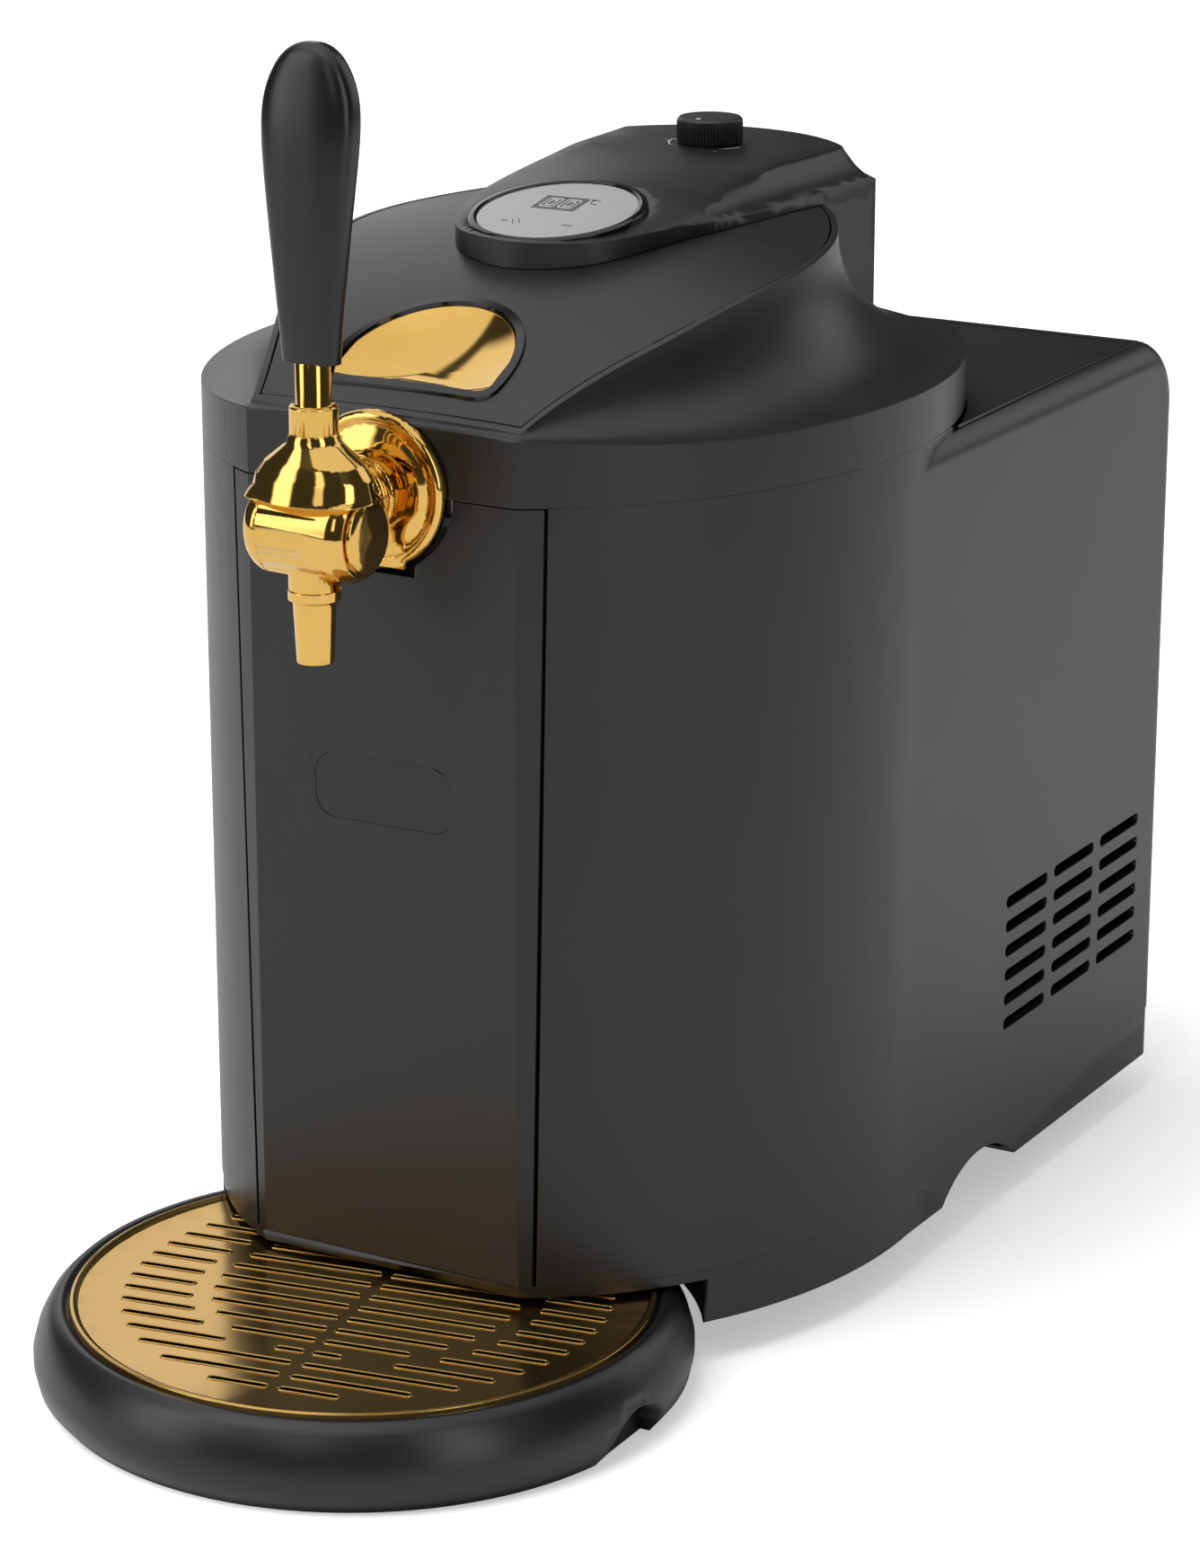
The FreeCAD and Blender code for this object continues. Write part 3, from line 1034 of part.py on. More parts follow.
def hingeParts():
    print("hinge")
    y, z, pin = size.hingeY, size.hingeZ, size.pinRadius
    barrels, arms, pins = [], [], []
    legRoom = shaped("LegRoom", spineBlock(0))
    for word, side in (("Left", -1), ("Right", 1)):
        armStart = 36 if side > 0 else -46
        arm = fuse("Arm" + word, rod("ArmBarrel" + word, 6, 10, armStart, y, z, "x"),
                   block("ArmStrap" + word, armStart, y - 20, z - 4, 10, 20, 8))
        arms.append(cut("ArmPart" + word, arm, legRoom,
                        rod("ArmBore" + word, pin + 0.05, 20, armStart - 5, y, z, "x")))
        for index, start in enumerate((26, 46.4)):
            begin = start if side > 0 else -start - 9.6
            tag = "%s%d" % (word, index)
            lump = fuse("Cheek" + tag, rod("CheekBarrel" + tag, 6, 9.6, begin, y, z, "x"),
                        block("CheekFoot" + tag, begin, y - 6, size.boxTop - 0.4, 9.6, 12, z - size.boxTop + 0.4))
            barrels.append(cut("CheekPart" + tag, lump, rod("CheekBore" + tag, pin, 20, begin - 5, y, z, "x")))
        pinStart = 25 if side > 0 else -57
        pins.append(rod("Pin" + word, pin, 32, pinStart, y, z, "x"))
    base = block("HingeBase", -60, y - 8, size.boxTop - 0.4, 120, 16, 1.8)
    finished(fuse("HingeBrackets", base, *barrels), "hinge_brackets")
    group = doc.addObject("Part::Compound", "HingeArms")
    group.Links = arms
    finished(group, "lid_hinge_arms")
    pinGroup = doc.addObject("Part::Compound", "HingePins")
    pinGroup.Links = pins
    finished(pinGroup, "hinge_pins")


casing()
baseParts()
rearCover()
kegChamber()
coolingParts()
dripTray()
tapParts()
leverParts()
lidOutside = lidParts()
spineParts(lidOutside)
lidInside()
hingeParts()
doc.recompute()

# Every object must have come out whole before anything is written.
faults = [thing.Label for thing in doc.Objects if "Invalid" in thing.State or "Error" in thing.State]
for part in subParts:
    if part.Shape.isNull() or not part.Shape.isValid() or not part.Shape.Solids:
        faults.append(part.Label)
if faults:
    raise SystemExit("failed: " + ", ".join(faults))
os.makedirs("parts", exist_ok=True)
for part in subParts:
    part.Shape.exportStep("parts/%s.step" % part.Label)
print(len(subParts), "sub-parts written")
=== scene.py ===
import json
import math

import bmesh
import bpy
from mathutils import Matrix, Vector


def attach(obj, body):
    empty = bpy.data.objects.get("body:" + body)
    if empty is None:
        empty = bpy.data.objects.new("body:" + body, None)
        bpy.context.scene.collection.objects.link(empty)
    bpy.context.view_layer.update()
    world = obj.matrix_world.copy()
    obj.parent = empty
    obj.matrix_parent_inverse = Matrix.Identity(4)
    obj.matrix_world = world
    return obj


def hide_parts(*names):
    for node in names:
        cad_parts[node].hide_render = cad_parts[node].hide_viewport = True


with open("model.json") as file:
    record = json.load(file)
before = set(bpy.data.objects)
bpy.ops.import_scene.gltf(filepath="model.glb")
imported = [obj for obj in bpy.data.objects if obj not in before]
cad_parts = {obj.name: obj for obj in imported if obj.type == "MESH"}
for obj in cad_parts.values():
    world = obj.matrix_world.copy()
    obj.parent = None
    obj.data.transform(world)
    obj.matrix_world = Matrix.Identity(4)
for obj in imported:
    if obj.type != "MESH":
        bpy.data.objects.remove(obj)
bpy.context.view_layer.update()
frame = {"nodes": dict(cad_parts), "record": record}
print("frame loaded")

mm = 0.001  # sizes below are in millimetres and turned to metres with this
frontY = -0.124  # the flat front of the casing, in the frame


# small helpers

def linear(hexColour):
    # an sRGB hex colour as the linear RGBA that shaders take
    parts = [int(hexColour[i:i + 2], 16) / 255 for i in (1, 3, 5)]
    return tuple(p / 12.92 if p <= 0.04045 else ((p + 0.055) / 1.055) ** 2.4 for p in parts) + (1.0,)


def addNode(tree, kind, inputs=None, **settings):
    made = tree.nodes.new(kind)
    for name, value in settings.items():
        setattr(made, name, value)
    for key, value in (inputs or {}).items():
        if isinstance(value, bpy.types.NodeSocket):
            tree.links.new(value, made.inputs[key])
        else:
            made.inputs[key].default_value = value
    return made


def newMaterial(name):
    material = bpy.data.materials.new(name)
    material.use_nodes = True
    material.node_tree.nodes.clear()
    return material, material.node_tree


def closeMaterial(tree, shader):
    addNode(tree, "ShaderNodeOutputMaterial", {"Surface": shader.outputs[0]})


def ramp(tree, factor, stops):
    made = addNode(tree, "ShaderNodeValToRGB", {"Fac": factor})
    for element, (place, colour) in zip(made.color_ramp.elements, stops):
        element.position = place
        element.color = colour
    for place, colour in stops[2:]:
        made.color_ramp.elements.new(place).color = colour
    return made.outputs["Color"]


def spread(tree, factor, low, high):
    return addNode(tree, "ShaderNodeMapRange", {"Value": factor, "To Min": low, "To Max": high}).outputs[0]


# materials

def mouldedAbs(name, values):
    # ABS from a spark-eroded tool: an even satin black, with a very fine grain
    material, tree = newMaterial(name)
    where = addNode(tree, "ShaderNodeTexCoord").outputs["Object"]
    grain = addNode(tree, "ShaderNodeTexNoise", {
        "Vector": where, "Scale": 1 / (values["grainMm"] * mm), "Detail": 2.0}).outputs["Fac"]
    cloud = addNode(tree, "ShaderNodeTexNoise", {
        "Vector": where, "Scale": 1 / (values["cloudMm"] * mm), "Detail": 3.0}).outputs["Fac"]
    colour = ramp(tree, cloud, [(0.35, linear(values["dark"])), (0.65, linear(values["light"]))])
    rough = spread(tree, cloud, values["roughness"] - 0.03, values["roughness"] + 0.03)
    soft = addNode(tree, "ShaderNodeBevel", {"Radius": values["edgeMm"] * mm}, samples=4)
    bump = addNode(tree, "ShaderNodeBump", {
        "Height": grain, "Strength": values["grainDepth"], "Distance": 0.05 * mm, "Normal": soft.outputs[0]})
    shader = addNode(tree, "ShaderNodeBsdfPrincipled", {
        "Base Color": colour, "Roughness": rough, "IOR": 1.5, "Normal": bump.outputs[0]})
    closeMaterial(tree, shader)
    return material


def brushedMetal(name, values):
    # plated brass, aluminium or steel: a bright metal with faint haze and fine hairlines from polishing
    material, tree = newMaterial(name)
    where = addNode(tree, "ShaderNodeTexCoord").outputs["Object"]
    haze = addNode(tree, "ShaderNodeTexNoise", {
        "Vector": where, "Scale": 1 / (values["hazeMm"] * mm), "Detail": 3.0}).outputs["Fac"]
    stretch = addNode(tree, "ShaderNodeMapping", {"Vector": where, "Scale": values["hairStretch"]})
    hair = addNode(tree, "ShaderNodeTexNoise", {
        "Vector": stretch.outputs[0], "Scale": 1 / (values["hairMm"] * mm), "Detail": 1.0}).outputs["Fac"]
    colour = ramp(tree, haze, [(0.3, linear(values["dark"])), (0.7, linear(values["light"]))])
    rough = spread(tree, haze, values["roughness"], values["roughness"] + 0.05)
    soft = addNode(tree, "ShaderNodeBevel", {"Radius": values["edgeMm"] * mm}, samples=4)
    bump = addNode(tree, "ShaderNodeBump", {
        "Height": hair, "Strength": values["hairDepth"], "Distance": 0.02 * mm, "Normal": soft.outputs[0]})
    shader = addNode(tree, "ShaderNodeBsdfPrincipled", {
        "Base Color": colour, "Metallic": 1.0, "Roughness": rough, "Normal": bump.outputs[0]})
    closeMaterial(tree, shader)
    return material


looks = {
    "shellAbs": mouldedAbs("satinBlackAbs", {
        "dark": "#121213", "light": "#161617", "roughness": 0.37, "grainMm": 0.8, "cloudMm": 60,
        "grainDepth": 0.25, "edgeMm": 0.7}),
    "baseAbs": mouldedAbs("mattBlackAbs", {
        "dark": "#0f0f10", "light": "#131314", "roughness": 0.34, "grainMm": 0.8, "cloudMm": 50,
        "grainDepth": 0.3, "edgeMm": 0.7}),
    "glossAbs": mouldedAbs("polishedBlackAbs", {
        "dark": "#0c0c0d", "light": "#101011", "roughness": 0.10, "grainMm": 3.0, "cloudMm": 40,
        "grainDepth": 0.03, "edgeMm": 0.3}),
    "paddle": mouldedAbs("lacqueredBlackPaddle", {
        "dark": "#0a0a0b", "light": "#0e0e0f", "roughness": 0.30, "grainMm": 1.5, "cloudMm": 40,
        "grainDepth": 0.08, "edgeMm": 0.3}),
    "knobAbs": mouldedAbs("mattBlackKnob", {
        "dark": "#0e0e0f", "light": "#121213", "roughness": 0.42, "grainMm": 0.6, "cloudMm": 20,
        "grainDepth": 0.3, "edgeMm": 0.2}),
    "rubber": mouldedAbs("softRubber", {
        "dark": "#131313", "light": "#1a1a1a", "roughness": 0.8, "grainMm": 0.5, "cloudMm": 15,
        "grainDepth": 0.5, "edgeMm": 0.4}),
    "greyNylon": mouldedAbs("greyNylon", {
        "dark": "#5e6062", "light": "#686a6c", "roughness": 0.5, "grainMm": 0.8, "cloudMm": 40,
        "grainDepth": 0.3, "edgeMm": 0.4}),
    "foam": mouldedAbs("whiteFoam", {
        "dark": "#d9dad8", "light": "#eeeeec", "roughness": 0.9, "grainMm": 3.5, "cloudMm": 12,
        "grainDepth": 1.0, "edgeMm": 0.8}),
    "ceramic": mouldedAbs("whiteCeramic", {
        "dark": "#dcdcd6", "light": "#e6e6e0", "roughness": 0.45, "grainMm": 1.0, "cloudMm": 12,
        "grainDepth": 0.1, "edgeMm": 0.2}),
    "inkWhite": mouldedAbs("whitePrintingInk", {
        "dark": "#dededf", "light": "#e8e8e9", "roughness": 0.5, "grainMm": 0.5, "cloudMm": 5,
        "grainDepth": 0.05, "edgeMm": 0.02}),
    "inkDark": mouldedAbs("darkPrintingInk", {
        "dark": "#38373a", "light": "#3f3e41", "roughness": 0.35, "grainMm": 0.5, "cloudMm": 5,
        "grainDepth": 0.05, "edgeMm": 0.02}),
    "board": mouldedAbs("circuitBoard", {
        "dark": "#123f26", "light": "#185232", "roughness": 0.35, "grainMm": 1.0, "cloudMm": 6,
        "grainDepth": 0.1, "edgeMm": 0.1}),
    "hose": mouldedAbs("greyHose", {
        "dark": "#777b80", "light": "#868a8f", "roughness": 0.35, "grainMm": 1.0, "cloudMm": 15,
        "grainDepth": 0.1, "edgeMm": 0.2}),
    "window": mouldedAbs("smokedAcrylic", {
        "dark": "#8c8b8e", "light": "#939295", "roughness": 0.12, "grainMm": 4.0, "cloudMm": 40,
        "grainDepth": 0.02, "edgeMm": 0.3}),
    "gold": brushedMetal("polishedGoldPlating", {
        "dark": "#dcb05c", "light": "#e4ba68", "roughness": 0.045, "hazeMm": 25, "hairMm": 0.4,
        "hairStretch": (1, 1, 0.2), "hairDepth": 0.03, "edgeMm": 0.6}),
    "goldPlate": brushedMetal("satinGoldPlating", {
        "dark": "#c8a25a", "light": "#d2ac64", "roughness": 0.15, "hazeMm": 60, "hairMm": 0.5,
        "hairStretch": (0.1, 1, 1), "hairDepth": 0.08, "edgeMm": 0.5}),
    "aluminium": brushedMetal("drawnAluminium", {
        "dark": "#c4c6c8", "light": "#d4d6d8", "roughness": 0.28, "hazeMm": 30, "hairMm": 0.5,
        "hairStretch": (1, 1, 0.05), "hairDepth": 0.2, "edgeMm": 0.3}),
    "steel": brushedMetal("zincPlatedSteel", {
        "dark": "#9a9c9e", "light": "#b4b6b8", "roughness": 0.3, "hazeMm": 8, "hairMm": 0.5,
        "hairStretch": (1, 1, 0.3), "hairDepth": 0.15, "edgeMm": 0.3}),
}
slotLook = {
    "black_shell": "shellAbs", "black_base": "baseAbs", "black_gloss": "glossAbs",
    "display_glass": "window", "handle_black": "paddle", "gold": "gold", "gold_plate": "goldPlate",
    "aluminium": "aluminium", "steel": "steel", "foam": "foam", "rubber": "rubber",
    "grey_plastic": "greyNylon", "board": "board", "ceramic": "ceramic", "hose": "hose",
}
slotOf = {item["node"]: item["material_slot"] for item in frame["record"]["subparts"]}
bodyOf = {name: body for body, names in frame["record"]["behaviour"]["bodies"].items() for name in names}
print("materials made")


def lookFor(node):
    return looks["knobAbs"] if node == "pressure_knob" else looks[slotLook[slotOf[node]]]


def smoothCopy(node, angle=28.0):
    # the node's own surface as one joined mesh, smooth except at its real edges
    source = frame["nodes"][node].data
    mesh = bpy.data.meshes.new(node + "_skin")
    work = bmesh.new()
    work.from_mesh(source)
    bmesh.ops.remove_doubles(work, verts=work.verts, dist=0.002 * mm)
    bmesh.ops.dissolve_degenerate(work, edges=work.edges, dist=0.001 * mm)
    work.to_mesh(mesh)
    work.free()
    mesh.materials.clear()
    mesh.materials.append(lookFor(node))
    mesh.polygons.foreach_set("material_index", [0] * len(mesh.polygons))
    mesh.shade_smooth()
    mesh.set_sharp_from_angle(angle=math.radians(angle))
    piece = bpy.data.objects.new(node + "_skin", mesh)
    bpy.context.scene.collection.objects.link(piece)
    evenOut = piece.modifiers.new("evenNormals", "WEIGHTED_NORMAL")
    evenOut.keep_sharp = True
    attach(piece, bodyOf[node])
    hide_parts(node)
    return piece


rebuilt = {"release_button"}
for node in frame["nodes"]:
    if node not in rebuilt:
        smoothCopy(node)
print("skins made")


def newPiece(name, mesh, material, body, instead=None):
    # a finished mesh as a piece that moves with its body
    mesh.materials.clear()
    mesh.materials.append(material)
    piece = bpy.data.objects.new(name, mesh)
    bpy.context.scene.collection.objects.link(piece)
    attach(piece, body)
    if instead:
        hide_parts(instead)
    return piece


def grown(name, mesh, group, inputs):
    # runs a Geometry Nodes group on a mesh and keeps what comes out as a plain mesh
    holder = bpy.data.objects.new(name + "Seed", mesh)
    bpy.context.scene.collection.objects.link(holder)
    modifier = holder.modifiers.new("grow", "NODES")
    modifier.node_group = group
    for item in group.interface.items_tree:
        if item.item_type == "SOCKET" and item.in_out == "INPUT" and item.name in inputs:
            modifier[item.identifier] = inputs[item.name]
    view = bpy.context.evaluated_depsgraph_get()
    result = bpy.data.meshes.new_from_object(holder.evaluated_get(view))
    result.name = name
    holder.modifiers.remove(modifier)
    bpy.data.objects.remove(holder)
    return result


def newGroup(name, inputs):
    group = bpy.data.node_groups.new(name, "GeometryNodeTree")
    group.interface.new_socket("Geometry", in_out="INPUT", socket_type="NodeSocketGeometry")
    for label, kind in inputs:
        group.interface.new_socket(label, in_out="INPUT", socket_type=kind)
    group.interface.new_socket("Geometry", in_out="OUTPUT", socket_type="NodeSocketGeometry")
    return group, addNode(group, "NodeGroupInput")


def closeGroup(group, geometry, start):
    realized = addNode(group, "GeometryNodeRealizeInstances", {"Geometry": geometry})
    dressed = addNode(group, "GeometryNodeSetMaterial", {
        "Geometry": realized.outputs[0], "Material": start.outputs["Material"]})
    addNode(group, "NodeGroupOutput", {0: dressed.outputs[0]})
    return group


def ribGroup():
    # upright ribs in a ring, each turned to face outwards
    group, start = newGroup("ribRing", [
        ("Count", "NodeSocketInt"), ("Radius", "NodeSocketFloat"), ("Width", "NodeSocketFloat"),
        ("Height", "NodeSocketFloat"), ("Material", "NodeSocketMaterial")])
    ring = addNode(group, "GeometryNodeMeshCircle", {
        "Vertices": start.outputs["Count"], "Radius": start.outputs["Radius"]})
    rib = addNode(group, "GeometryNodeMeshCylinder", {
        "Vertices": 8, "Radius": start.outputs["Width"], "Depth": start.outputs["Height"]})
    spot = addNode(group, "GeometryNodeInputPosition")
    facing = addNode(group, "FunctionNodeAlignRotationToVector", {"Vector": spot.outputs[0]}, axis="X")
    placed = addNode(group, "GeometryNodeInstanceOnPoints", {
        "Points": ring.outputs["Mesh"], "Instance": rib.outputs["Mesh"], "Rotation": facing.outputs[0]})
    return closeGroup(group, placed.outputs[0], start)


def pipeGroup():
    # a thin round bead along every edge loop of the mesh
    group, start = newGroup("beadAlongEdges", [
        ("Radius", "NodeSocketFloat"), ("Material", "NodeSocketMaterial")])
    path = addNode(group, "GeometryNodeMeshToCurve", {"Mesh": start.outputs["Geometry"]})
    profile = addNode(group, "GeometryNodeCurvePrimitiveCircle", {
        "Resolution": 8, "Radius": start.outputs["Radius"]})
    bead = addNode(group, "GeometryNodeCurveToMesh", {
        "Curve": path.outputs[0], "Profile Curve": profile.outputs[0]})
    return closeGroup(group, bead.outputs[0], start)


ribs, beads = ribGroup(), pipeGroup()


def shifted(mesh, x, y, z, tilt=0.0):
    # moves a mesh from its own frame to the object's, tilted back about X
    lean = Matrix.Rotation(math.radians(tilt), 4, "X")
    mesh.transform(Matrix.Translation((x * mm, frontY + y * mm, z * mm)) @ lean)
    return mesh


def loopMesh(name, loops, closed=True):
    # edge loops, in millimetres
    points, edges = [], []
    for loop in loops:
        first = len(points)
        points += [Vector(spot) * mm for spot in loop]
        edges += [(first + k, first + k + 1) for k in range(len(loop) - 1)]
        if closed:
            edges.append((len(points) - 1, first))
    mesh = bpy.data.meshes.new(name)
    mesh.from_pydata(points, edges, [])
    return mesh


def plateMesh(name, outlines, low, high):
    # flat plates with straight sides, from outlines in millimetres
    work = bmesh.new()
    for outline in outlines:
        face = work.faces.new([work.verts.new((x * mm, y * mm, low * mm)) for x, y in outline])
        made = bmesh.ops.extrude_face_region(work, geom=[face])
        rise = [item for item in made["geom"] if isinstance(item, bmesh.types.BMVert)]
        bmesh.ops.translate(work, verts=rise, vec=(0, 0, (high - low) * mm))
    bmesh.ops.recalc_face_normals(work, faces=work.faces)
    mesh = bpy.data.meshes.new(name)
    work.to_mesh(mesh)
    work.free()
    return mesh


# release button: a polished half-moon dish

scoopValues = {
    "halfWidth": 31.5, "midY": 25.5, "rise": 34.5, "front": 17.0, "corner": 6.0, "cornerInset": 1.2,
    "sink": 6.5, "bowl": 2.2, "edgeDrop": 0.4, "wall": 8.0, "heart": 33.0, "rings": 28, "around": 120,
    "farthest": 80.0, "halvings": 40, "sharp": 50,
}
crownValues = {"frontZ": 334, "rise": 0.559, "bend": 0.00173, "arch": 0.0008}


def crownHeight(x, y):
    v = crownValues
    return v["frontZ"] + v["rise"] * y - v["bend"] * y * y - v["arch"] * x * x


def halfMoonPoint(angle, values):
    # the outline's point in a direction from its middle: an oval cut across at the front, corners eased
    across, along = math.cos(angle), math.sin(angle)
    low, high = 0.0, values["farthest"]
    for halving in range(values["halvings"]):
        reach = (low + high) / 2
        x, y = reach * across, values["heart"] + reach * along
        oval = (x / values["halfWidth"]) ** 2 + ((y - values["midY"]) / values["rise"]) ** 2
        corner = max(0.0, abs(x) - (values["halfWidth"] - values["corner"] - values["cornerInset"]))
        rounding = math.sqrt(max(0.0, values["corner"] ** 2 - corner ** 2))
        front = values["front"] + values["corner"] - rounding
        if oval < 1 and y > front and corner < values["corner"]:
            low = reach
        else:
            high = reach
    return low * across, values["heart"] + low * along


def buttonMesh(values):
    rings, around = values["rings"], values["around"]
    heart = values["heart"]
    edge = [halfMoonPoint(2 * math.pi * k / around, values) for k in range(around)]
    points, faces = [], []
    for ring in range(1, rings + 1):
        share = ring / rings
        for x, y in edge:
            px, py = x * share, heart + (y - heart) * share
            deep = values["sink"] * (1 - share ** values["bowl"]) + values["edgeDrop"]
            points.append((px * mm, frontY + py * mm, (crownHeight(px, py) - deep) * mm))
    for x, y in edge:
        points.append((x * mm, frontY + y * mm, (crownHeight(x, y) - values["wall"]) * mm))
    lowest = crownHeight(0, heart) - values["sink"] - values["edgeDrop"]
    points.append((0, frontY + heart * mm, lowest * mm))
    for k in range(around):
        after = (k + 1) % around
        faces.append((len(points) - 1, k, after))
        for ring in range(rings):
            inner, outer = ring * around, (ring + 1) * around
            faces.append((inner + k, outer + k, outer + after, inner + after))
    mesh = bpy.data.meshes.new("release_button_dish")
    mesh.from_pydata(points, [], faces)
    mesh.shade_smooth()
    mesh.set_sharp_from_angle(angle=math.radians(values["sharp"]))
    return mesh


newPiece("release_button_dish", buttonMesh(scoopValues), looks["gold"], "release_button",
         "release_button")
print("release button made")

# display: printed window with digits, a degree sign and small marks

displayValues = {
    "middle": (0, 119, 384.6), "tilt": 10.0, "surface": -0.5, "film": 0.04, "digitLift": 0.06,
    "windowLow": (-11.2, 0.2), "windowHigh": (6.0, 13.2),
    "digitWide": 5.4, "digitHigh": 8.0, "digitLean": 0.8, "digitLine": 0.35, "digitBand": 1.5,
    "digitPlaces": (2.0, 9.2), "digitRise": 2.4, "cornerShares": (0.12, 0.88),
    "letter": (9.2, 10.6, 1.7, 1.9), "letterTurns": (50, 26, 11), "signLine": 0.16,
    "degree": (7.4, 12.6, 0.6), "degreeTurns": (45, 45, 8), "degreeLine": 0.12,
    "strokes": (((-14.6, -14.0), (-12.2, -14.0)), ((-9.4, -11.0), (-7.0, -14.8)),
                ((-11.0, -12.6), (-8.8, -16.2)), ((9.0, -13.0), (13.0, -13.0))),
}


def digitLoops(left, low, values):
    # an upright rounded nought, drawn as an outer and an inner line
    wide, high, lean = values["digitWide"], values["digitHigh"], values["digitLean"]
    loops = []
    for inset in (0.0, values["digitBand"]):
        corners = [(inset, inset), (wide - inset, inset), (wide - inset, high - inset), (inset, high - inset)]
        loop = []
        for (ax, ay), (bx, by) in zip(corners, corners[1:] + corners[:1]):
            for share in values["cornerShares"]:
                x, y = ax + (bx - ax) * share, ay + (by - ay) * share
                loop.append((left + x + lean * y / high, low + y, 0))
        loops.append(loop)
    return loops


def ovalLine(x, y, across, along, turns):
    # points on an oval: the first angle, the step between points in degrees, and their number
    first, gap, count = turns
    return [(x + across * math.cos(turn), y + along * math.sin(turn), 0)
            for turn in (math.radians(first + gap * k) for k in range(count))]


def printedLine(name, loops, thick, material, lift, values, closed=True):
    # fine printed lines on the display's face
    mesh = grown(name, loopMesh(name + "Lines", loops, closed), beads,
                 {"Radius": thick * mm, "Material": looks[material]})
    mesh.transform(Matrix.Translation((0, 0, (values["surface"] + lift) * mm)))
    newPiece(name, shifted(mesh, *values["middle"], values["tilt"]), looks[material], "lid")


def displayMarks(values):
    low, high, face = values["windowLow"], values["windowHigh"], values["surface"]
    corners = [low, (high[0], low[1]), high, (low[0], high[1])]
    window = plateMesh("display_window", [corners], face, face + values["film"])
    newPiece("display_window", shifted(window, *values["middle"], values["tilt"]), looks["inkDark"],
             "lid")
    digits = []
    for place in values["digitPlaces"]:
        digits += digitLoops(low[0] + place, low[1] + values["digitRise"], values)
    printedLine("display_digits", digits, values["digitLine"] / 2, "inkWhite", values["digitLift"], values)
    strokes = [[(x, y, 0) for x, y in stroke] for stroke in values["strokes"]]
    signs = [ovalLine(*values["letter"], values["letterTurns"])] + strokes
    printedLine("display_signs", signs, values["signLine"], "inkDark", values["film"], values, closed=False)
    x, y, radius = values["degree"]
    degree = [ovalLine(x, y, radius, radius, values["degreeTurns"])]
    printedLine("display_degree", degree, values["degreeLine"], "inkDark", values["film"], values)


displayMarks(displayValues)
print("display made")

# knob: a ring of fine ribs, a white dot, and a printed arc with end marks in front of it

knobValues = {
    "middle": (0, 231, 391.3), "radius": 12.0, "ribs": 64, "ribWidth": 0.24, "ribSunk": 0.08,
    "ribLow": 0.9, "ribHigh": 8.4, "top": 9.7, "film": 0.04,
    "dot": (-0.8, -7.5, 0.9), "dotTurns": (0, 20, 18),
    "arcRadius": 15.0, "arcLine": 0.5, "arcTurns": (-172, 4, 40), "arcFlat": 0.1, "arcLift": 0.06,
    "endOut": 1.6, "endIn": (1.2, 0.6), "endPlaces": (0.6, -3.2), "frontMark": (0.60, 0.75, 1.4),
}


def knobDetails(values):
    place, low, high = values["middle"], values["ribLow"], values["ribHigh"]
    teeth = grown("pressure_knob_ribs", bpy.data.meshes.new("ribSeed"), ribs, {
        "Count": values["ribs"], "Radius": (values["radius"] - values["ribSunk"]) * mm,
        "Width": values["ribWidth"] * mm, "Height": (high - low) * mm, "Material": looks["knobAbs"]})
    teeth.transform(Matrix.Translation((0, 0, (high + low) / 2 * mm)))
    newPiece("pressure_knob_ribs", shifted(teeth, *place), looks["knobAbs"], "pressure_knob")
    x, y, radius = values["dot"]
    outline = [spot[:2] for spot in ovalLine(x, y, radius, radius, values["dotTurns"])]
    dot = plateMesh("pressure_knob_dot", [outline], values["top"], values["top"] + values["film"])
    newPiece("pressure_knob_dot", shifted(dot, *place), looks["inkWhite"], "pressure_knob")
    reach = values["arcRadius"]
    marks = [ovalLine(0, 0, reach, reach, values["arcTurns"])]
    for inward, height in zip(values["endIn"], values["endPlaces"]):
        marks.append([(-reach - values["endOut"], height, 0), (-reach + inward, height, 0)])
    left, right, drop = values["frontMark"]
    marks.append([(reach * left, -reach - drop, 0), (reach * right, -reach - drop, 0)])
    scale = grown("pressure_scale", loopMesh("scale", marks, closed=False), beads,
                  {"Radius": values["arcLine"] / 2 * mm, "Material": looks["inkWhite"]})
    scale.transform(Matrix.Diagonal((1, 1, values["arcFlat"], 1)))
    scale.transform(Matrix.Translation((0, 0, values["arcLift"] * mm)))
    newPiece("pressure_scale", shifted(scale, *place), looks["inkWhite"], "lid")


knobDetails(knobValues)
print("knob made")

# drip plate: a raised bright lip round every slot

slotValues = {
    "middle": (0, -17, 30.0), "pitch": 9.7, "wide": 3.0, "turn": 9.2, "firstRow": 5.6, "patternX": 2.0,
    "rows": (-9, 9), "ringIn": 61.0, "ringOut": 85.0, "ringGap": 2, "narrow": 6, "inner": 54.0,
    "innerGap": 1.5, "shortest": 9.0, "lip": 0.38, "endTurns": (22.5, 9),
}


def slotSpans(values):
    # rows of slots across the plate: start and end along X, and the row's Y
    spans, ringGap, innerGap = [], values["ringGap"], values["innerGap"]
    for row in range(*values["rows"]):
        y = values["firstRow"] + row * values["pitch"]
        ends = []
        if abs(y) < values["ringOut"]:
            outer = math.sqrt(values["ringOut"] ** 2 - y * y)
            inner = math.sqrt(max(0.0, values["ringIn"] ** 2 - y * y))
            inner = inner if inner > values["narrow"] else ringGap
            ends += [(inner, outer), (-outer, -inner)]
        if abs(y) < values["inner"]:
            reach = math.sqrt(values["inner"] ** 2 - y * y)
            ends += [(-reach, -innerGap), (innerGap, reach)]
        spans += [(start, end, y) for start, end in ends if end - start > values["shortest"]]
    return spans


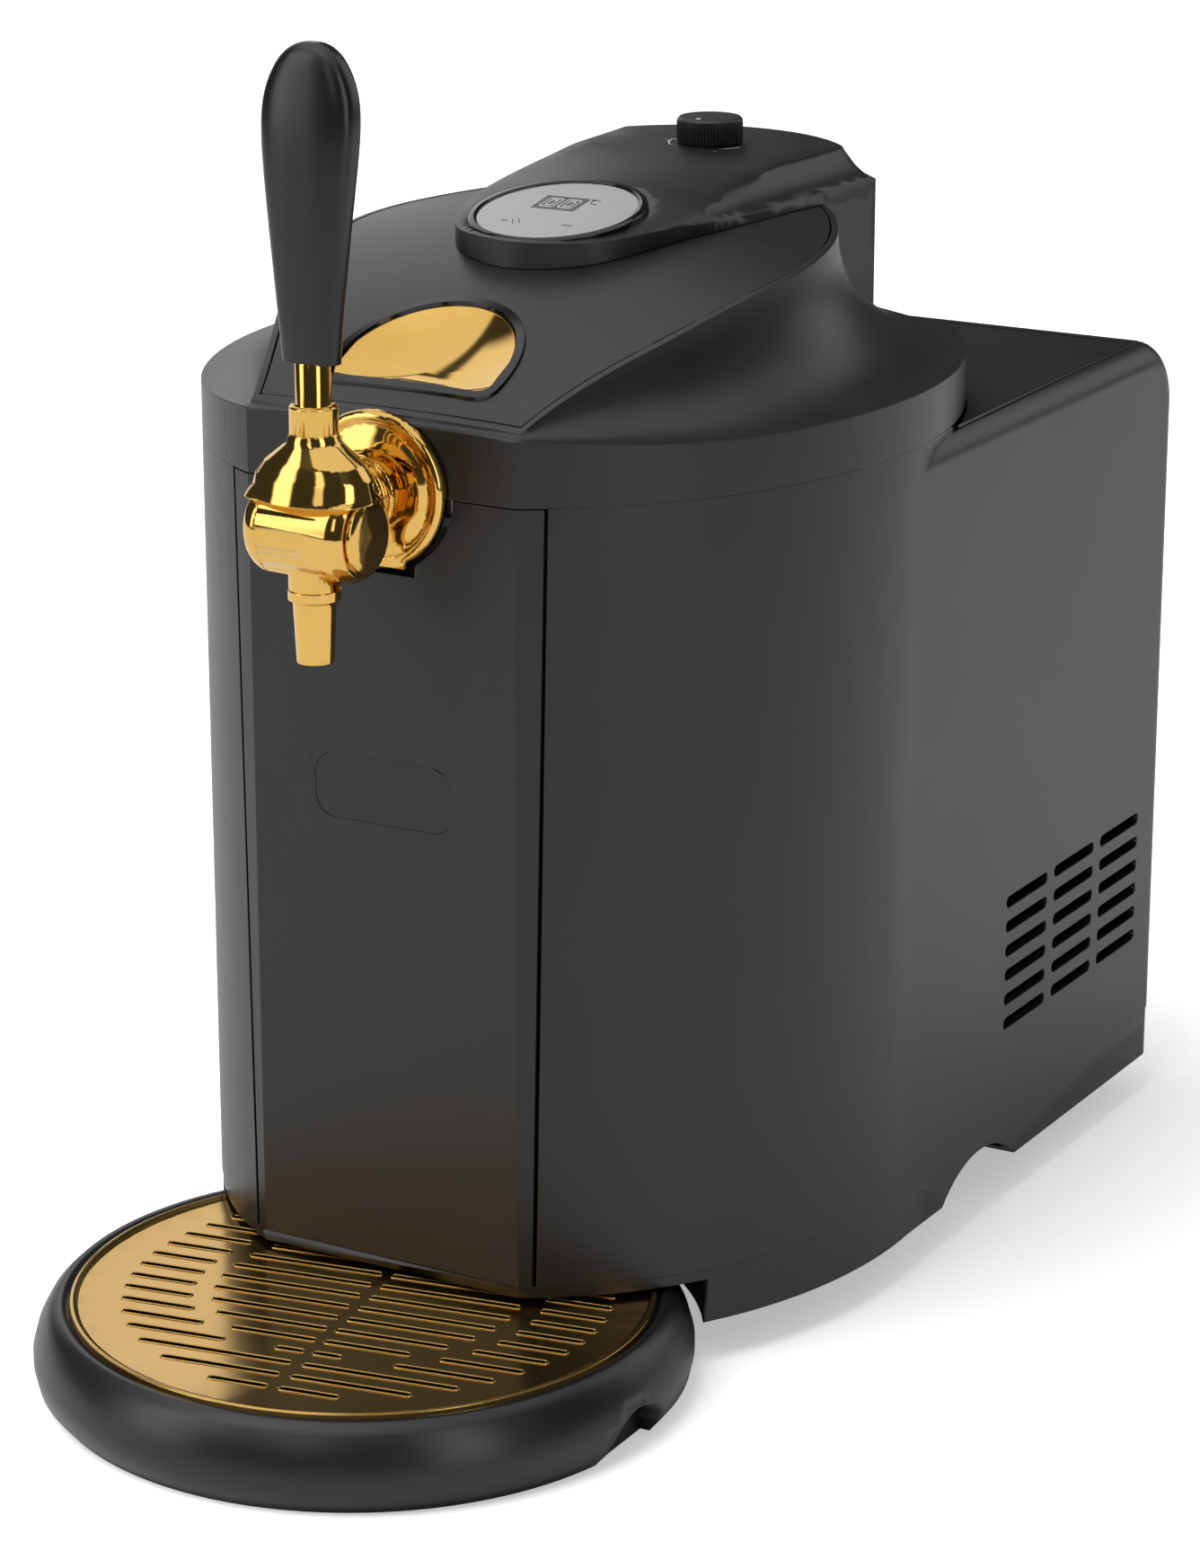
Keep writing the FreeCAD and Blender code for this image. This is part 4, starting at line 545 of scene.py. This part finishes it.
def lipLoops(values):
    bend = values["wide"] / 2
    gap, count = values["endTurns"]
    loops = []
    for start, end, y in slotSpans(values):
        near, far = start + bend + values["patternX"], end - bend + values["patternX"]
        loops.append(ovalLine(far, y, bend, bend, (-90, gap, count))
                     + ovalLine(near, y, bend, bend, (90, gap, count)))
    return loops


lips = grown("drip_plate_lips", loopMesh("lipLoops", lipLoops(slotValues)), beads,
             {"Radius": slotValues["lip"] * mm, "Material": looks["goldPlate"]})
lips.transform(Matrix.Rotation(math.radians(slotValues["turn"]), 4, "Z"))
lips.shade_smooth()
newPiece("drip_plate_lips", shifted(lips, *slotValues["middle"]), looks["goldPlate"], "drip_plate")
print("drip plate made")


# stage

# softboxes: azimuth from above in degrees from -Y towards +X, half width, strength, foot and head in metres
stageValues = {
    "floorSize": 9.0, "floorColour": "#f0f0f0", "floorGlow": 0.42,
    "tentRadius": 3.2, "tentHeight": 4.2, "tentSides": 96, "tentSunk": 0.02,
    "tentDark": 0.05, "tentTop": 1.0, "roofFrom": 0.35, "roofTo": 0.1,
    "softEdge": 0.15, "boxEdge": (1.25, 0.8),
    "sunStrength": 2.6, "sunAngle": 50, "sunTurn": (22, -18, 0), "worldStrength": 0.42, "worldSeen": 1.0,
    "softboxes": [
        (64, 9, 2.6, 0.2, 3.4),
        (8, 6, 1.6, 1.2, 3.0),
        (-42, 12, 2.4, 0.2, 3.2),
        (150, 18, 1.0, 0.4, 3.4),
        (-130, 18, 1.0, 0.4, 3.4),
    ],
}


def mathNode(tree, operation, first, second=None):
    inputs = {0: first} if second is None else {0: first, 1: second}
    return addNode(tree, "ShaderNodeMath", inputs, operation=operation).outputs[0]


def softStep(tree, value, start, end, low, high):
    return addNode(tree, "ShaderNodeMapRange", {
        "Value": value, "From Min": start, "From Max": end, "To Min": low, "To Max": high},
        interpolation_type="SMOOTHSTEP").outputs[0]


def linked(name, data):
    made = bpy.data.objects.new(name, data)
    bpy.context.scene.collection.objects.link(made)
    return made


def makeFloor(values):
    half = values["floorSize"]
    mesh = bpy.data.meshes.new("floor")
    corners = [(-half, -half, 0), (half, -half, 0), (half, half, 0), (-half, half, 0)]
    mesh.from_pydata(corners, [], [(0, 1, 2, 3)])
    floor = linked("floor", mesh)
    material, tree = newMaterial("paleFloor")
    seen = addNode(tree, "ShaderNodeLightPath")
    matt = addNode(tree, "ShaderNodeBsdfDiffuse", {"Color": linear(values["floorColour"])})
    glow = addNode(tree, "ShaderNodeEmission", {"Color": (1, 1, 1, 1), "Strength": values["floorGlow"]})
    lifted = addNode(tree, "ShaderNodeAddShader", {0: matt.outputs[0], 1: glow.outputs[0]})
    mixed = addNode(tree, "ShaderNodeMixShader", {
        0: seen.outputs["Is Camera Ray"], 1: matt.outputs[0], 2: lifted.outputs[0]})
    closeMaterial(tree, mixed)
    mesh.materials.append(material)


def tentCloth(values):
    # dark walls with bright upright softboxes and a bright roof
    material, tree = newMaterial("tentCloth")
    where = addNode(tree, "ShaderNodeTexCoord").outputs["Object"]
    east, north, height = addNode(tree, "ShaderNodeSeparateXYZ", {0: where}).outputs
    turn = mathNode(tree, "ARCTAN2", east, north)
    edge, (wide, narrow) = values["softEdge"], values["boxEdge"]
    total = None
    for azimuth, half, strength, low, high in values["softboxes"]:
        facing = mathNode(tree, "COSINE", mathNode(tree, "SUBTRACT", turn, math.radians(180 - azimuth)))
        across = softStep(tree, facing, math.cos(math.radians(half * wide)),
                          math.cos(math.radians(half * narrow)), 0.0, strength)
        rise = softStep(tree, height, low - edge, low + edge, 0.0, 1.0)
        fall = softStep(tree, height, high - edge, high + edge, 1.0, 0.0)
        patch = mathNode(tree, "MULTIPLY", mathNode(tree, "MULTIPLY", across, rise), fall)
        total = patch if total is None else mathNode(tree, "ADD", total, patch)
    top = values["tentHeight"]
    roof = softStep(tree, height, top - values["roofFrom"], top - values["roofTo"],
                    values["tentDark"], values["tentTop"])
    glow = addNode(tree, "ShaderNodeEmission", {
        "Color": (1, 1, 1, 1), "Strength": mathNode(tree, "ADD", total, roof)})
    closeMaterial(tree, glow)
    return material


def makeTent(values):
    # a studio tent that shows only in the mirrored surfaces
    radius, height = values["tentRadius"], values["tentHeight"]
    work = bmesh.new()
    bmesh.ops.create_cone(
        work, cap_ends=True, segments=values["tentSides"], radius1=radius, radius2=radius, depth=height)
    bmesh.ops.translate(work, verts=work.verts, vec=(0, 0, height / 2 - values["tentSunk"]))
    bottom = [face for face in work.faces if face.calc_center_median().z < 0.1 and abs(face.normal.z) > 0.9]
    bmesh.ops.delete(work, geom=bottom, context="FACES")
    mesh = bpy.data.meshes.new("studioTent")
    work.to_mesh(mesh)
    work.free()
    tent = linked("studioTent", mesh)
    mesh.materials.append(tentCloth(values))
    tent.visible_camera = False
    tent.visible_diffuse = False
    tent.visible_shadow = False
    tent.visible_transmission = False


def makeLight(values):
    sun = bpy.data.lights.new("topSun", "SUN")
    sun.energy = values["sunStrength"]
    sun.angle = math.radians(values["sunAngle"])
    linked("topSun", sun).rotation_euler = [math.radians(angle) for angle in values["sunTurn"]]
    world = bpy.data.worlds.new("paleRoom")
    bpy.context.scene.world = world
    world.use_nodes = True
    tree = world.node_tree
    tree.nodes.clear()
    seen = addNode(tree, "ShaderNodeLightPath")
    direct = mathNode(tree, "MAXIMUM", seen.outputs["Is Camera Ray"], seen.outputs["Is Glossy Ray"])
    direct = mathNode(tree, "MAXIMUM", direct, seen.outputs["Is Transmission Ray"])
    level = spread(tree, direct, values["worldStrength"], values["worldSeen"])
    sky = addNode(tree, "ShaderNodeBackground", {"Color": (1, 1, 1, 1), "Strength": level})
    addNode(tree, "ShaderNodeOutputWorld", {"Surface": sky.outputs[0]})


makeFloor(stageValues)
makeTent(stageValues)
makeLight(stageValues)

# camera, from the photograph's vanishing lines
cameraValues = {"place": (0.7793, -1.3638, 0.6698), "turn": (72.5, 0.0, 29.3), "lens": 104.8, "sensor": 36.0}
camera = bpy.data.cameras.new("camera")
camera.lens = cameraValues["lens"]
camera.sensor_fit = "VERTICAL"
camera.sensor_height = cameraValues["sensor"]
cameraHolder = linked("camera", camera)
cameraHolder.location = cameraValues["place"]
cameraHolder.rotation_euler = [math.radians(angle) for angle in cameraValues["turn"]]
bpy.context.scene.camera = cameraHolder
bpy.context.scene.view_settings.view_transform = "Standard"
print("stage made")
